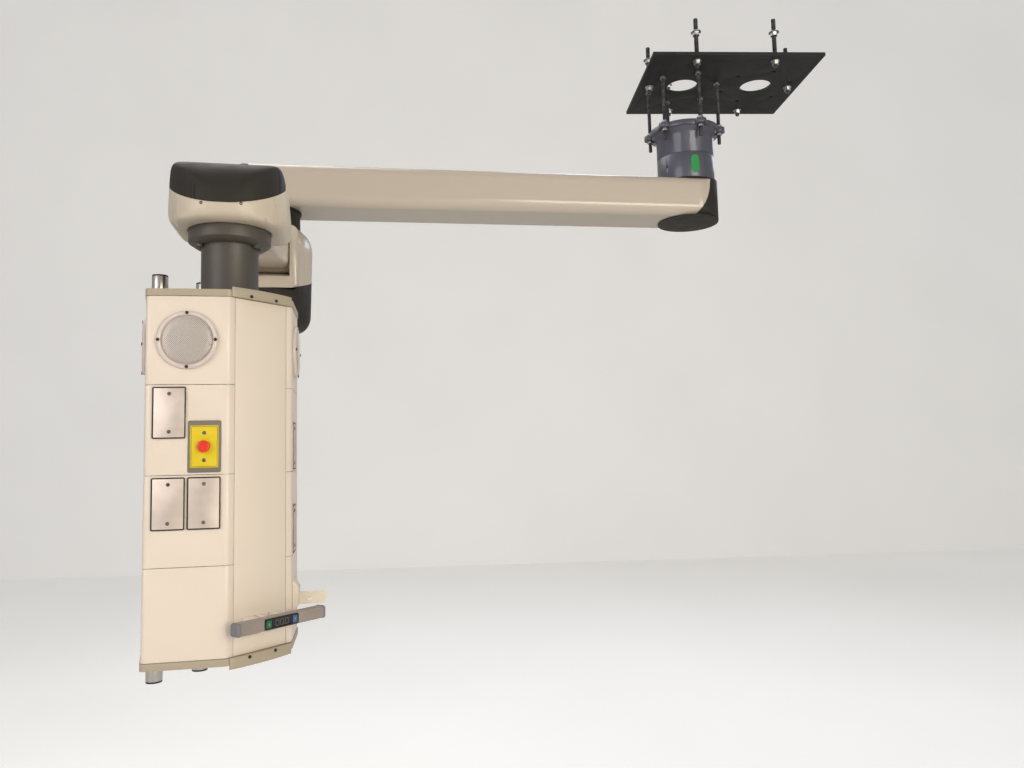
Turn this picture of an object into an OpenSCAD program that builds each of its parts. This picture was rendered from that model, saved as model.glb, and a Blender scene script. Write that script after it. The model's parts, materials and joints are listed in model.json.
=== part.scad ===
/* [Ceiling plate] */
// Width of the shared ceiling plate
plate_w = 648; // [600:1:800]
// Depth of the ceiling plate
plate_d = 516; // [460:1:640]
// Thickness of the ceiling plate
plate_t = 12; // [8:1:20]
// Distance between the two station axes
station_gap = 298; // [290:1:330]
// Diameter of each station's opening in the plate
opening_d = 120; // [90:1:140]
// Diameter of the building rods
building_rod_d = 16; // [10:1:20]
// Length of a building rod above the plate
building_rod_up = 150; // [110:1:220]
// Height of the structural nuts above the plate
building_nut_z = 84; // [60:1:100]
// Distance of the rod holes from the plate's edges
rod_inset = 42; // [30:1:60]

/* [Hub] */
// Pitch circle diameter of the hub studs
stud_pcd = 268; // [262:1:276]
// Number of hub studs
stud_count = 6; // [4:1:8]
// Diameter of the hub studs
stud_d = 14; // [10:1:18]
// Drop from the plate's top to the flange
hub_drop = 201; // [180:1:320]
// Diameter of the hub flange
flange_d = 272; // [260:1:290]
// Thickness of the hub flange
flange_t = 20; // [16:1:30]
// Diameter of the hub body
hub_d = 220; // [200:1:226]
// Height of the hub body below the flange
hub_h = 196; // [150:1:220]
// Height of the removable cover at the bottom of the hub
hub_cover_h = 98; // [50:1:110]

/* [Extension arm] */
// Hub axis to elbow axis
arm_len = 1600; // [1200:1:2000]
// Width of the arm beam
beam_w = 236; // [230:1:260]
// Height of the arm beam
beam_h = 150; // [120:1:180]
// Corner radius of the beam section
beam_r = 38; // [20:1:50]
// Wall of the beam
beam_wall = 6; // [4:0.5:10]
// Direction of the arm in the rest pose
arm_angle = 185.9; // [150:0.1:210]

/* [Elbow] */
// Diameter of the dark elbow collar
elbow_collar_d = 224; // [180:1:228]
// Height of the elbow collar
elbow_collar_h = 76; // [50:1:100]
// Height of the white elbow housing
elbow_h = 182; // [174:1:220]
// Largest diameter of the elbow housing
elbow_d = 310; // [290:1:340]
// Height of the dark lower cover
elbow_cap_h = 181; // [150:1:210]
// Direction of the lift arm in the rest pose
lift_angle = -81.4; // [-120:0.1:-60]

/* [Lift arm] */
// Distance between the lift arm's two pivots
lift_len = 761; // [700:1:1000]
// Downward slope of the lift arm in the rest pose
lift_drop = 7.5; // [2:0.1:12]
// Width of the lift arm's shell
shell_w = 164; // [150:1:170]
// Height of the lift arm's shell
shell_h = 116; // [104:1:120]
// Wall of the lift arm's shell
shell_wall = 4; // [3:0.5:6]
// Elbow axis to the rear pivot
root_reach = 92; // [80:1:100]
// Front pivot to the service head's axis
tip_reach = 108; // [100:1:120]
// Diameter of the two pivot pins
pin_d = 24; // [18:1:30]
// Distance between a main pivot and its link pivot
link_gap = 34; // [28:1:36]

/* [Front head] */
// Width of the front head
head_w = 278; // [270:1:310]
// Height of the front head
head_h = 163; // [150:1:190]
// Length of the front head ahead of the service axis
head_nose = 142; // [130:1:160]
// Diameter of the swivel collar
collar_d = 191; // [180:1:220]
// Height of the swivel collar
collar_h = 38; // [36:1:60]
// Diameter of the drop tube
tube_d = 132; // [120:1:150]
// Wall of the drop tube
tube_wall = 5; // [3:0.5:8]
// Visible length of the drop tube
tube_len = 130; // [100:1:400]

/* [Service head] */
// Height of one equipment module
module_h = 198; // [180:1:240]
// Number of modules one above the other
module_n = 4; // [4:1:6]
// Width of an equipment face
face_w = 174; // [165:1:230]
// Width of the plain front panel
front_w = 177; // [160:1:220]
// Width of a rear equipment face
side_w = 260; // [240:1:280]
// Distance of the front panel from the service axis
front_gap = 119; // [115:1:150]
// Turn from an equipment face to the rear face
side_turn = 77; // [76:1:84]
// Height of the top and bottom trims
trim_h = 16; // [12:1:22]
// Thickness of the sheet panels
panel_t = 3; // [2:0.5:4]
// Turn of the service head in the rest pose
service_turn = 52.5; // [0:0.1:90]
// Diameter of the equipment posts
post_d = 38; // [30:1:42]
// Length of a post above and below the service head
post_over = 78; // [40:1:300]

/* [Fittings] */
// Diameter of a loudspeaker bezel
speaker_d = 130; // [120:1:150]
// Diameter of a loudspeaker grille
grille_d = 108; // [90:1:112]
// Width of a wall plate
gang_w = 70; // [66:1:80]
// Height of a wall plate
gang_h = 114; // [110:1:125]
// Thickness of a wall plate
gang_t = 3; // [2:0.5:5]
// Diameter of the call button
button_d = 26; // [20:1:30]
// Length of the handle bar
handle_len = 246; // [230:1:300]
// Height of the handle bar
handle_h = 28; // [24:1:36]
// Height of the handle above the bottom of the service head
handle_z = 82; // [70:1:130]
// Clear space between the panel and the handle bar
handle_gap = 30; // [24:1:45]

/* [Hidden] */
$fn = 64;
fit = 0.3;
seam = 1.2;

hub_x = -station_gap / 2;
flange_top = -hub_drop;
flange_bottom = flange_top - flange_t;
hub_bottom = flange_bottom - hub_h;
hub_joint = hub_bottom + hub_cover_h;
beam_top = hub_bottom - 1;
beam_bottom = beam_top - beam_h;
elbow_x = hub_x + arm_len * cos(arm_angle);
elbow_y = arm_len * sin(arm_angle);
elbow_top = beam_bottom - elbow_collar_h;
elbow_bottom = elbow_top - elbow_h;
elbow_cap_bottom = elbow_bottom - elbow_cap_h;
root_z = elbow_top - 95;
tip_x = root_reach + lift_len * cos(lift_drop);
tip_z = root_z - lift_len * sin(lift_drop);
head_x = tip_x + tip_reach;
head_bottom = tip_z - 74;
axis_x = elbow_x + head_x * cos(lift_angle);
axis_y = elbow_y + head_x * sin(lift_angle);
collar_bottom = head_bottom - collar_h;
body_top = collar_bottom - tube_len;
stack_h = module_h * module_n;
body_h = stack_h + 2 * trim_h;
body_bottom = body_top - body_h;
stack_top = body_top - trim_h;
stack_bottom = stack_top - stack_h;

// Corners of the service head's plan, clockwise from the front panel's left end
c45 = face_w * cos(45);
face_end_x = front_w / 2 + c45;
face_end_y = -front_gap + c45;
rear_x = face_end_x - side_w * cos(180 - 45 - side_turn);
rear_y = face_end_y + side_w * sin(180 - 45 - side_turn);
post_x = rear_x - 12;
post_y = rear_y - 30;
plan = [[-front_w / 2, -front_gap], [front_w / 2, -front_gap], [face_end_x, face_end_y],
        [rear_x, rear_y], [-rear_x, rear_y], [-face_end_x, face_end_y]];

beam_col = [0.86, 0.85, 0.82];
cream = [0.90, 0.85, 0.76];
dark = [0.24, 0.22, 0.21];
mid_grey = [0.37, 0.36, 0.36];
hub_col = [0.38, 0.38, 0.46];
steel = [0.62, 0.61, 0.59];
trim_col = [0.75, 0.71, 0.60];
rod_col = [0.25, 0.25, 0.27];
black = [0.05, 0.05, 0.06];

// Frames of reference
module at_hub() translate([hub_x, 0, 0]) children();
module at_arm() at_hub() rotate([0, 0, arm_angle]) children();
module at_elbow() translate([elbow_x, elbow_y, 0]) rotate([0, 0, lift_angle]) children();
module at_lift() at_elbow() translate([root_reach, 0, root_z]) rotate([0, lift_drop, 0]) children();
module at_head() at_elbow() translate([head_x, 0, 0]) children();
module at_body() translate([axis_x, axis_y, 0]) rotate([0, 0, service_turn]) children();

// Faces of the service head: x runs along the face and y points into the head
module on_front() translate([0, -front_gap, 0]) children();
module on_left()
    translate([-(front_w / 2 + c45 / 2), -front_gap + c45 / 2, 0]) rotate([0, 0, -45]) children();
module on_right()
    translate([front_w / 2 + c45 / 2, -front_gap + c45 / 2, 0]) rotate([0, 0, 45]) children();
module on_rear_right() translate([(face_end_x + rear_x) / 2, (face_end_y + rear_y) / 2, 0])
    rotate([0, 0, 45 + side_turn]) children();
module on_rear_left() translate([-(face_end_x + rear_x) / 2, (face_end_y + rear_y) / 2, 0])
    rotate([0, 0, -45 - side_turn]) children();

// Flat shapes
module round_rect(w, h, r) {
    square([w - 2 * r, h], center = true);
    square([w, h - 2 * r], center = true);
    for (x = [-1, 1], y = [-1, 1]) translate([x * (w / 2 - r), y * (h / 2 - r)]) circle(r = r);
}

// A slab that stands on a face: w along the face, h up, from y0 to y1
module face_slab(w, h, r, y0, y1) translate([0, y1, 0]) rotate([90, 0, 0]) linear_extrude(y1 - y0)
    round_rect(w, h, r);

module ring(d, hole, h) difference() {
    cylinder(d = d, h = h);
    translate([0, 0, -1]) cylinder(d = hole, h = h + 2);
}

module nut(across, hole, h) difference() {
    cylinder(d = across / cos(30), h = h, $fn = 6);
    translate([0, 0, -1]) cylinder(d = hole, h = h + 2, $fn = 32);
}

module around(n, r, start = 0)
    for (i = [0:n - 1]) rotate([0, 0, start + i * 360 / n]) translate([r, 0, 0]) children();

// Ceiling mount
rod_x = plate_w / 2 - rod_inset;
rod_y = plate_d / 2 - rod_inset;
rod_places = [[-station_gap / 2, -rod_y], [station_gap / 2, -rod_y], [-station_gap / 2, rod_y],
              [station_gap / 2, rod_y], [-rod_x, 0], [rod_x, 0]];
rod_below = 26;
nut_h = 13;
washer_h = 3;
hole_play = 1;
stud_start = -18;

module ceiling_plate() color(black) difference() {
    translate([-plate_w / 2, -plate_d / 2, -plate_t]) cube([plate_w, plate_d, plate_t]);
    for (x = [-1, 1]) translate([x * station_gap / 2, 0, -plate_t - 1]) {
        cylinder(d = opening_d, h = plate_t + 2);
        around(stud_count, stud_pcd / 2, stud_start) cylinder(d = stud_d + 2 * hole_play, h = plate_t + 2);
    }
    for (p = rod_places) translate([p[0], p[1], -plate_t - 1])
        cylinder(d = building_rod_d + 2 * hole_play, h = plate_t + 2);
}

// Above the upper nuts a rod is bare, with the thread's own slightly smaller diameter
rod_bare_z = building_nut_z + nut_h + washer_h + 2;
module building_rods() color(rod_col) for (p = rod_places) translate([p[0], p[1], 0]) {
    translate([0, 0, -plate_t - rod_below])
        cylinder(d = building_rod_d, h = plate_t + rod_below + rod_bare_z, $fn = 24);
    cylinder(d = building_rod_d - 0.6, h = building_rod_up, $fn = 24);
}

module building_nuts() color(steel) for (p = rod_places) translate([p[0], p[1], 0]) {
    hole = building_rod_d + 2 * fit;
    across = building_rod_d * 1.5;
    ring(across * 1.35, hole, washer_h);
    translate([0, 0, washer_h]) nut(across, hole, nut_h);
    translate([0, 0, -plate_t - washer_h]) ring(across * 1.35, hole, washer_h);
    translate([0, 0, -plate_t - washer_h - nut_h]) nut(across, hole, nut_h);
    translate([0, 0, building_nut_z]) nut(across, hole, nut_h);
    translate([0, 0, building_nut_z + nut_h]) ring(across * 1.6, hole, washer_h);
}

// Hub
stud_over = 22;
stud_under = 45;
stud_nut_h = 11;
lug_d = 46;
shaft_d = 96;
shaft_bore = 60;
bearing_d = 150;
bearing_h = 24;

module hub_studs() color(rod_col) at_hub() around(stud_count, stud_pcd / 2, stud_start)
    translate([0, 0, flange_bottom - stud_under])
        cylinder(d = stud_d, h = stud_under + flange_t + hub_drop + stud_over, $fn = 24);

module hub_nuts() color(steel) at_hub() around(stud_count, stud_pcd / 2, stud_start) {
    hole = stud_d + 2 * fit;
    across = stud_d * 1.5;
    nut(across, hole, stud_nut_h);
    translate([0, 0, -plate_t - stud_nut_h]) nut(across, hole, stud_nut_h);
    translate([0, 0, flange_top]) nut(across, hole, stud_nut_h);
    translate([0, 0, flange_bottom + 1 - stud_nut_h]) nut(across, hole, stud_nut_h);
}

// The casting is one turned drum under a thin flange, with a lug round each stud
module hub_casting() color(hub_col) at_hub() difference() {
    union() {
        rotate_extrude($fn = 96) {
            translate([0, flange_bottom]) square([flange_d / 2, flange_t]);
            translate([0, hub_joint + seam]) square([hub_d / 2, flange_bottom - hub_joint]);
            translate([0, hub_bottom + 6]) square([hub_d / 2 - 12, flange_bottom - hub_bottom - 6]);
            polygon([[hub_d / 2 - 1, flange_bottom + 1], [flange_d / 2 - 8, flange_bottom + 1],
                     [flange_d / 2 - 14, flange_bottom - 8], [hub_d / 2 + 2, flange_bottom - 20],
                     [hub_d / 2 - 1, flange_bottom - 30]]);
        }
        around(stud_count, stud_pcd / 2, stud_start) translate([0, 0, flange_bottom + 1])
            cylinder(d = lug_d, h = flange_t - 2.5);
    }
    translate([0, 0, hub_bottom - 1]) cylinder(d = shaft_d + 12, h = hub_drop * 2);
    for (z = [hub_bottom + 6, flange_top - bearing_h]) translate([0, 0, z - 0.01])
        cylinder(d = bearing_d + 2 * fit, h = bearing_h + 0.02);
    around(stud_count, stud_pcd / 2, stud_start) translate([0, 0, flange_bottom - 70]) {
        cylinder(d = stud_d + 2 * hole_play, h = 71 + flange_t);
        cylinder(d = stud_d * 1.9, h = 71);
    }
}

module hub_cover() color(hub_col) at_hub() difference() {
    translate([0, 0, hub_bottom]) cylinder(d = hub_d, h = hub_cover_h, $fn = 96);
    translate([0, 0, hub_bottom + 4]) cylinder(d = hub_d - 24 + 2 * fit, h = hub_cover_h);
    translate([0, 0, hub_bottom - 1]) cylinder(d = bearing_d - 10, h = 10);
    for (a = [-145, 40]) rotate([0, 0, a]) translate([hub_d / 2 - 14, 0, hub_bottom + hub_cover_h / 2])
        rotate([0, 90, 0]) cylinder(d = 6, h = 20, $fn = 24);
    rotate([0, 0, -61.5]) translate([hub_d / 2 - 1, -seam / 2, hub_bottom - 1])
        cube([4, seam, hub_cover_h + 2]);
}

module hub_bearings() color(steel) at_hub() {
    for (z = [hub_bottom + 6, flange_top - bearing_h]) translate([0, 0, z])
        ring(bearing_d, shaft_d + 2 * fit, bearing_h);
}

module hub_shaft() color(steel) at_hub() difference() {
    union() {
        translate([0, 0, beam_top + 0.2]) cylinder(d = shaft_d, h = flange_top - beam_top + 10);
        translate([0, 0, flange_top + fit]) cylinder(d = shaft_d + 26, h = 10);
        translate([0, 0, beam_top + 0.2])
            cylinder(d = bearing_d - 16, h = hub_bottom + 6 - fit - beam_top - 0.2);
    }
    translate([0, 0, beam_top - 1]) cylinder(d = shaft_bore, h = hub_drop * 2);
}

// Extension arm: a rolled box beam with round ends, closed at each end by a dark cap
cap_top_x = 50;
boss_d = 170;
mid_z = (beam_top + beam_bottom) / 2;

module beam_section(grow = 0) rotate([90, 0, 90]) linear_extrude(arm_len + 2 * beam_w, center = true)
    round_rect(beam_w + 2 * grow, beam_h + 2 * grow, beam_r + grow);

// The arm's outside: the section carried along and rounded in plan at both ends
module beam_form(grow = 0) intersection() {
    translate([arm_len / 2, 0, mid_z]) beam_section(grow);
    translate([0, 0, beam_bottom - grow]) linear_extrude(beam_h + 2 * grow) {
        translate([0, -beam_w / 2 - grow]) square([arm_len, beam_w + 2 * grow]);
        for (x = [0, arm_len]) translate([x, 0]) circle(r = beam_w / 2 + grow, $fn = 96);
    }
}

// Region beyond the slanted, bowed joint between the beam and an end cap
module cap_region(gap = 0) {
    bow = beam_h * 1.3;
    difference() {
        translate([-beam_w, -beam_w, beam_bottom - 20])
            cube([beam_w - cap_top_x + bow, 2 * beam_w, beam_h + 40]);
        translate([-cap_top_x + gap + bow - 6, 0, beam_bottom + beam_h * 0.98])
            rotate([90, 0, 0]) cylinder(r = bow, h = 3 * beam_w, center = true, $fn = 96);
    }
}

beam_skin = 4;
shaft_room = 44;

module arm_beam() color(beam_col) at_arm() difference() {
    union() {
        difference() {
            beam_form();
            cap_region(fit);
            translate([arm_len, 0, 0]) mirror([1, 0, 0]) cap_region(fit);
            beam_form(-beam_wall);
        }
        for (x = [0, arm_len]) translate([x, 0, beam_bottom + beam_skin + 0.5])
            cylinder(d = boss_d, h = beam_h - 2 * beam_skin - 1);
    }
    translate([0, 0, beam_bottom + 20]) cylinder(d = shaft_bore, h = beam_h);
    translate([0, -20, beam_bottom + 24]) cube([boss_d, 40, beam_h - 50]);
    translate([arm_len, 0, beam_bottom - 1]) cylinder(d = bearing_d + 2 * fit, h = beam_h - shaft_room + 1);
    translate([arm_len, 0, beam_top - shaft_room - 1]) cylinder(d = bearing_d - 20, h = shaft_room - 9);
    translate([arm_len - boss_d, -30, beam_top - shaft_room + 6]) cube([boss_d, 60, shaft_room - 18]);
}

disc_t = 5;

// A dark cap closes each end of the beam and has a disc on the underside
module end_cap(hole) difference() {
    union() {
        difference() {
            intersection() {
                beam_form();
                cap_region(0);
            }
            beam_form(-beam_skin);
        }
        translate([0, 0, beam_bottom - disc_t]) cylinder(d = beam_w - 2, h = disc_t - 0.3, $fn = 96);
        intersection() {
            translate([0, 0, beam_bottom - 1]) cylinder(d = beam_w - 8, h = 3);
            cap_region();
        }
    }
    if (hole > 0) translate([0, 0, beam_bottom - disc_t - 1]) cylinder(d = hole, h = disc_t + 8);
}

module arm_hub_cap() color(dark) at_arm() end_cap(0);
module arm_elbow_cap() color(dark) at_arm()
    translate([arm_len, 0, 0]) mirror([1, 0, 0]) end_cap(elbow_hole);

// Elbow
elbow_hole = 152;
elbow_flange_d = 178;
elbow_rim = 2;
split_z = elbow_top - 180;
split_slope = 19;
yoke_w = 230;
yoke_x = 158;
yoke_top = root_z + 84;
yoke_bottom = root_z - 136;
root_barrel = 70;
tip_barrel = shell_h / 2;
lug_w = 36;
pitch_up = 4.5;
pitch_down = 20.5;

module elbow_bearings() color(steel) translate([elbow_x, elbow_y, 0]) {
    for (z = [beam_bottom + 1, beam_top - shaft_room - bearing_h]) translate([0, 0, z])
        ring(bearing_d, shaft_d + 2 * fit, bearing_h);
}

module elbow_shaft() color(steel) at_elbow() difference() {
    union() {
        translate([0, 0, elbow_top + 0.2]) cylinder(d = shaft_d, h = beam_top - shaft_room + 4 - elbow_top);
        translate([0, 0, beam_top - shaft_room + 0.3]) cylinder(d = shaft_d + 20, h = 6);
        translate([0, 0, elbow_top + 0.2]) cylinder(d = elbow_flange_d, h = 18);
        translate([0, 0, elbow_top + 18])
            cylinder(d = shaft_d + 30, h = beam_bottom + 0.7 - elbow_top - 18);
    }
    translate([0, 0, elbow_top - 1]) cylinder(d = shaft_bore, h = beam_h + elbow_collar_h);
}

module elbow_collar() color(dark) at_elbow() translate([0, 0, elbow_top + 0.2])
    ring(elbow_collar_d, elbow_flange_d + 2 * fit, beam_bottom - disc_t - elbow_rim - elbow_top);

// Points of an elliptic arc
function arc(cx, cy, rx, ry, a0, a1, n = 8) =
    [for (i = [0:n]) let (a = a0 + (a1 - a0) * i / n) [cx + rx * cos(a), cy + ry * sin(a)]];

// The elbow's outside: a turned barrel with a square yoke in front
module elbow_barrel(grow = 0) rotate_extrude($fn = 96) polygon(concat(
    [[0, elbow_top + grow], [elbow_d / 2 - 34 + grow, elbow_top + grow]],
    arc(elbow_d / 2 - 44, elbow_top - 76, 44 + grow, 74, 74, 0, 8),
    arc(elbow_d / 2 - 52, elbow_cap_bottom + 60, 46 + grow, 60 + grow, 0, -80, 8),
    [[0, elbow_cap_bottom - grow]]));

yoke_round = 14;

module yoke_block() intersection() {
    translate([1, 0, (yoke_top + yoke_bottom) / 2]) rotate([90, 0, 90]) linear_extrude(yoke_x - 1)
        round_rect(yoke_w, yoke_top - yoke_bottom, 30);
    translate([0, 0, yoke_bottom - 1]) linear_extrude(yoke_top - yoke_bottom + 2) polygon(concat(
        [[0, -yoke_w / 2 - 1]],
        arc(yoke_x + 1 - yoke_round, -yoke_w / 2 - 1 + yoke_round, yoke_round, yoke_round, -90, 0),
        arc(yoke_x + 1 - yoke_round, yoke_w / 2 + 1 - yoke_round, yoke_round, yoke_round, 0, 90),
        [[0, yoke_w / 2 + 1]]));
}

// Half space under the slanted joint of the elbow's dark cover
module below_split(shift) translate([0, 0, split_z + shift]) rotate([0, split_slope, 0])
    translate([-400, -400, -600]) cube([800, 800, 600]);

// Room that the lift arm's end sweeps between its limits, one outline for both ends
function pitch_dir(a) = [cos(a), -sin(a)];
function pitch_up_from(a) = [sin(a), cos(a)];
pitch_low = -pitch_up - 1;
pitch_high = pitch_down + 1;

module sweep_room(barrel, reach, back) {
    h = shell_h / 2 + 2;
    r = barrel + 2;
    rotate([90, 0, 0]) linear_extrude(shell_w + 6, center = true) polygon(back
        ? concat(arc(0, 0, r, r, -90 - pitch_low, 90 - pitch_high, 24),
            [-reach * pitch_dir(pitch_high) + h * pitch_up_from(pitch_high),
             -reach * pitch_dir(pitch_low) - h * pitch_up_from(pitch_low)])
        : concat(arc(0, 0, r, r, 90 - pitch_low, 270 - pitch_high, 24),
            [reach * pitch_dir(pitch_high) - h * pitch_up_from(pitch_high),
             reach * pitch_dir(pitch_low) + h * pitch_up_from(pitch_low)]));
}

module root_lug() translate([-root_barrel - 10, -lug_w / 2, -link_gap - 18])
    cube([root_barrel + 28, lug_w, link_gap + 38]);

module elbow_housing() color(beam_col) at_elbow() difference() {
    union() {
        difference() {
            union() {
                elbow_barrel();
                yoke_block();
            }
            below_split(fit);
            translate([root_reach, 0, root_z]) sweep_room(root_barrel, 200, false);
            difference() {
                translate([0, 0, elbow_cap_bottom])
                    cylinder(d = elbow_d - 64, h = elbow_h + elbow_cap_h - 30);
                translate([10, -300, elbow_cap_bottom - 50]) cube([300, 600, 600]);
            }
        }
        translate([root_reach, 0, root_z]) root_lug();
    }
    translate([root_reach, 0, root_z]) rotate([90, 0, 0]) {
        cylinder(d = pin_d + 2 * fit, h = yoke_w - 16, center = true, $fn = 48);
        translate([0, -link_gap, 0])
            cylinder(d = link_pin_d + 2 * fit, h = lug_w + 2, center = true, $fn = 32);
    }
    translate([root_reach - 22, -link_w / 2 - 1, root_z - link_gap - 21]) cube([60, link_w + 2, 38]);
    translate([-16, 0, elbow_top - 60]) cylinder(d = shaft_bore - 20, h = 70);
}

module elbow_cover() color(dark) at_elbow() difference() {
    intersection() {
        elbow_barrel();
        below_split(0);
    }
    intersection() {
        elbow_barrel(-5);
        below_split(-6);
    }
    translate([root_reach, 0, root_z]) sweep_room(root_barrel, 200, false);
    yoke_block();
}

module root_pin() color(steel) at_elbow() translate([root_reach, 0, root_z]) rotate([90, 0, 0])
    cylinder(d = pin_d, h = yoke_w - 18, center = true, $fn = 48);

// Lift arm
link_pin_d = 12;
link_w = 16;
link_h = 22;

spring_rear = 104;
spring_front = 636;
eye_d = 26;
eye_hole = 10;
spring_y = shell_w / 2 - 44;
spring_z = shell_h / 2 - shell_wall - 22;

module lift_shell() color(beam_col) at_lift() {
    lift_tube();
    for (x = [spring_rear, spring_front]) translate([x, shell_w / 2 - shell_wall, spring_z])
        rotate([90, 0, 0]) cylinder(d = eye_hole - 2 * fit, h = shell_w / 2 - shell_wall - spring_y + 10);
}

module lift_tube() difference() {
    union() {
        rotate([90, 0, 0]) cylinder(r = root_barrel, h = shell_w, center = true, $fn = 96);
        translate([lift_len, 0, 0]) rotate([90, 0, 0])
            cylinder(r = tip_barrel, h = shell_w, center = true, $fn = 96);
        translate([lift_len / 2, 0, 0]) rotate([90, 0, 90]) linear_extrude(lift_len, center = true)
            round_rect(shell_w, shell_h, 28);
    }
    difference() {
        union() {
            rotate([90, 0, 0])
                cylinder(r = root_barrel - shell_wall, h = shell_w - 2 * shell_wall, center = true);
            translate([lift_len, 0, 0]) rotate([90, 0, 0])
                cylinder(r = tip_barrel - shell_wall, h = shell_w - 2 * shell_wall, center = true);
            translate([lift_len / 2, 0, 0]) rotate([90, 0, 90]) linear_extrude(lift_len, center = true)
                round_rect(shell_w - 2 * shell_wall, shell_h - 2 * shell_wall, 24);
        }
        for (x = [0, lift_len], y = [-1, 1]) translate([x, y * (shell_w / 2 - shell_wall - 14), 0])
            rotate([90, 0, 0]) cylinder(d = pin_d + 20, h = 30, center = true);
    }
    for (x = [0, lift_len]) translate([x, 0, 0]) rotate([90, 0, 0])
        cylinder(d = pin_d + 2 * fit, h = shell_w + 2, center = true, $fn = 48);
    rotate([0, -lift_drop, 0]) translate([-root_barrel - 2, -lug_w / 2 - 3, -link_gap - 34])
        cube([root_barrel - 14, lug_w + 6, link_gap + 74]);
    translate([lift_len, 0, 0]) rotate([0, -lift_drop, 0]) translate([2, -lug_w / 2 - 3, -tip_barrel - 2])
        cube([tip_barrel + 4, lug_w + 6, 2 * tip_barrel + 4]);
}

// Gas spring under the shell's top wall, with an eye on a pin at each end
module lift_spring() color(rod_col) at_lift() translate([0, spring_y, spring_z]) {
    translate([spring_rear + 146, 0, 0]) rotate([0, 90, 0]) cylinder(d = 36, h = 330);
    translate([spring_rear + 10, 0, 0]) rotate([0, 90, 0]) cylinder(d = 14, h = 140);
    translate([spring_rear + 470, 0, 0]) rotate([0, 90, 0])
        cylinder(d = 20, h = spring_front - spring_rear - 480);
    for (x = [spring_rear, spring_front]) translate([x, 0, 0]) rotate([90, 0, 0]) difference() {
        cylinder(d = eye_d, h = 16, center = true);
        cylinder(d = eye_hole, h = 18, center = true);
    }
}

// The levelling link is parallel to the line between the main pivots
module lift_link() color(rod_col) at_elbow() translate([root_reach, 0, root_z - link_gap])
    rotate([0, lift_drop, 0]) difference() {
        union() {
            for (x = [0, lift_len]) translate([x, 0, 0]) rotate([90, 0, 0])
                cylinder(d = link_h, h = link_w, center = true);
            translate([0, -link_w / 2, -link_h / 2 + 3]) cube([lift_len, link_w, link_h - 6]);
        }
        for (x = [0, lift_len]) translate([x, 0, 0]) rotate([90, 0, 0])
            cylinder(d = link_pin_d + 2 * fit, h = link_w + 2, center = true, $fn = 32);
    }

module link_pin() rotate([90, 0, 0]) cylinder(d = link_pin_d, h = lug_w - 1, center = true, $fn = 32);
module root_link_pin() color(steel) at_elbow() translate([root_reach, 0, root_z - link_gap]) link_pin();
module tip_link_pin() color(steel) at_head() translate([-tip_reach, 0, tip_z - link_gap]) link_pin();

// Front head: a domed housing, flat underneath, that the slanted dark cap completes
head_back = 128;
head_split = 126;
head_slope = 33;
low_r = 30;
side_dome = [26, 42, 8];
nose_dome = [130, head_h - 40, 0];

// Half a rounded profile: dome is the top corner's width, its height and the wall's lean
function half_dome(w, dome, g) = concat(
    arc(w - low_r, low_r, low_r + g, low_r + g, -90, 0, 6),
    arc(w - dome[2] - dome[0], head_h - dome[1], dome[0] + g, dome[1] + g, 0, 90, 10));

function flipped(points) = [for (i = [len(points) - 1:-1:0]) [-points[i][0], points[i][1]]];

module head_form(g = 0) translate([0, 0, head_bottom]) intersection() {
    translate([0, 0, -g - 1]) linear_extrude(head_h + 2 * g + 2) {
        translate([head_nose - head_w / 2, 0]) circle(r = head_w / 2 + 1 + g, $fn = 96);
        translate([-head_back - g, -head_w / 2 - 1 - g])
            square([head_back + g + head_nose - head_w / 2, head_w + 2 + 2 * g]);
    }
    rotate([90, 0, 90]) linear_extrude(2 * head_w, center = true)
        polygon(concat(half_dome(head_w / 2, side_dome, g), flipped(half_dome(head_w / 2, side_dome, g))));
    rotate([90, 0, 0]) linear_extrude(2 * head_w, center = true)
        polygon(concat(half_dome(head_nose, nose_dome, g),
            [[-head_back - g, head_h + g], [-head_back - g, -g]]));
}

module above_split(shift) translate([0, 0, head_bottom + head_split + shift]) rotate([0, head_slope, 0])
    translate([-400, -400, 0]) cube([800, 800, 400]);

module tip_lug() translate([-14, -lug_w / 2, -link_gap - 14]) cube([tip_barrel + 30, lug_w, link_gap + 32]);

tube_rise = 20;
tube_ring_d = tube_d + 22;
tube_ring_h = 12;
bearing_out = collar_d - 26;

module head_housing() color(cream) at_head() difference() {
    union() {
        difference() {
            head_form();
            above_split(0);
            translate([-tip_reach, 0, tip_z]) sweep_room(tip_barrel, 60, true);
        }
        intersection() {
            head_form(-1);
            translate([-tip_reach, 0, tip_z]) tip_lug();
        }
    }
    translate([-tip_reach, 0, tip_z]) rotate([90, 0, 0]) {
        cylinder(d = pin_d + 2 * fit, h = head_w - 50, center = true, $fn = 48);
        translate([0, -link_gap, 0])
            cylinder(d = link_pin_d + 2 * fit, h = lug_w + 2, center = true, $fn = 32);
    }
    translate([-tip_reach - 60, -link_w / 2 - 1, tip_z - link_gap - 24]) cube([82, link_w + 2, 41]);
    translate([0, 0, head_bottom - 1]) {
        cylinder(d = bearing_out + 4, h = tube_ring_h + 3);
        cylinder(d = tube_d + 8, h = tube_rise + 12);
        cylinder(d = collar_d + 2, h = 6);
    }
    intersection() {
        head_form(-6);
        translate([-12, -head_w, head_bottom + 26]) cube([2 * head_w, 2 * head_w, head_h]);
    }
    for (y = [-1, 1]) translate([-tip_reach + 30, y * 44 - 15, head_bottom + 30]) cube([tip_reach, 30, 40]);
}

module head_cap() color(dark) at_head() difference() {
    intersection() {
        head_form();
        above_split(fit);
    }
    intersection() {
        head_form(-4);
        above_split(-10);
    }
    translate([-tip_reach, 0, tip_z]) sweep_room(tip_barrel, 60, true);
}

module tip_pin() color(steel) at_head() translate([-tip_reach, 0, tip_z]) rotate([90, 0, 0])
    cylinder(d = pin_d, h = head_w - 52, center = true, $fn = 48);

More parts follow.
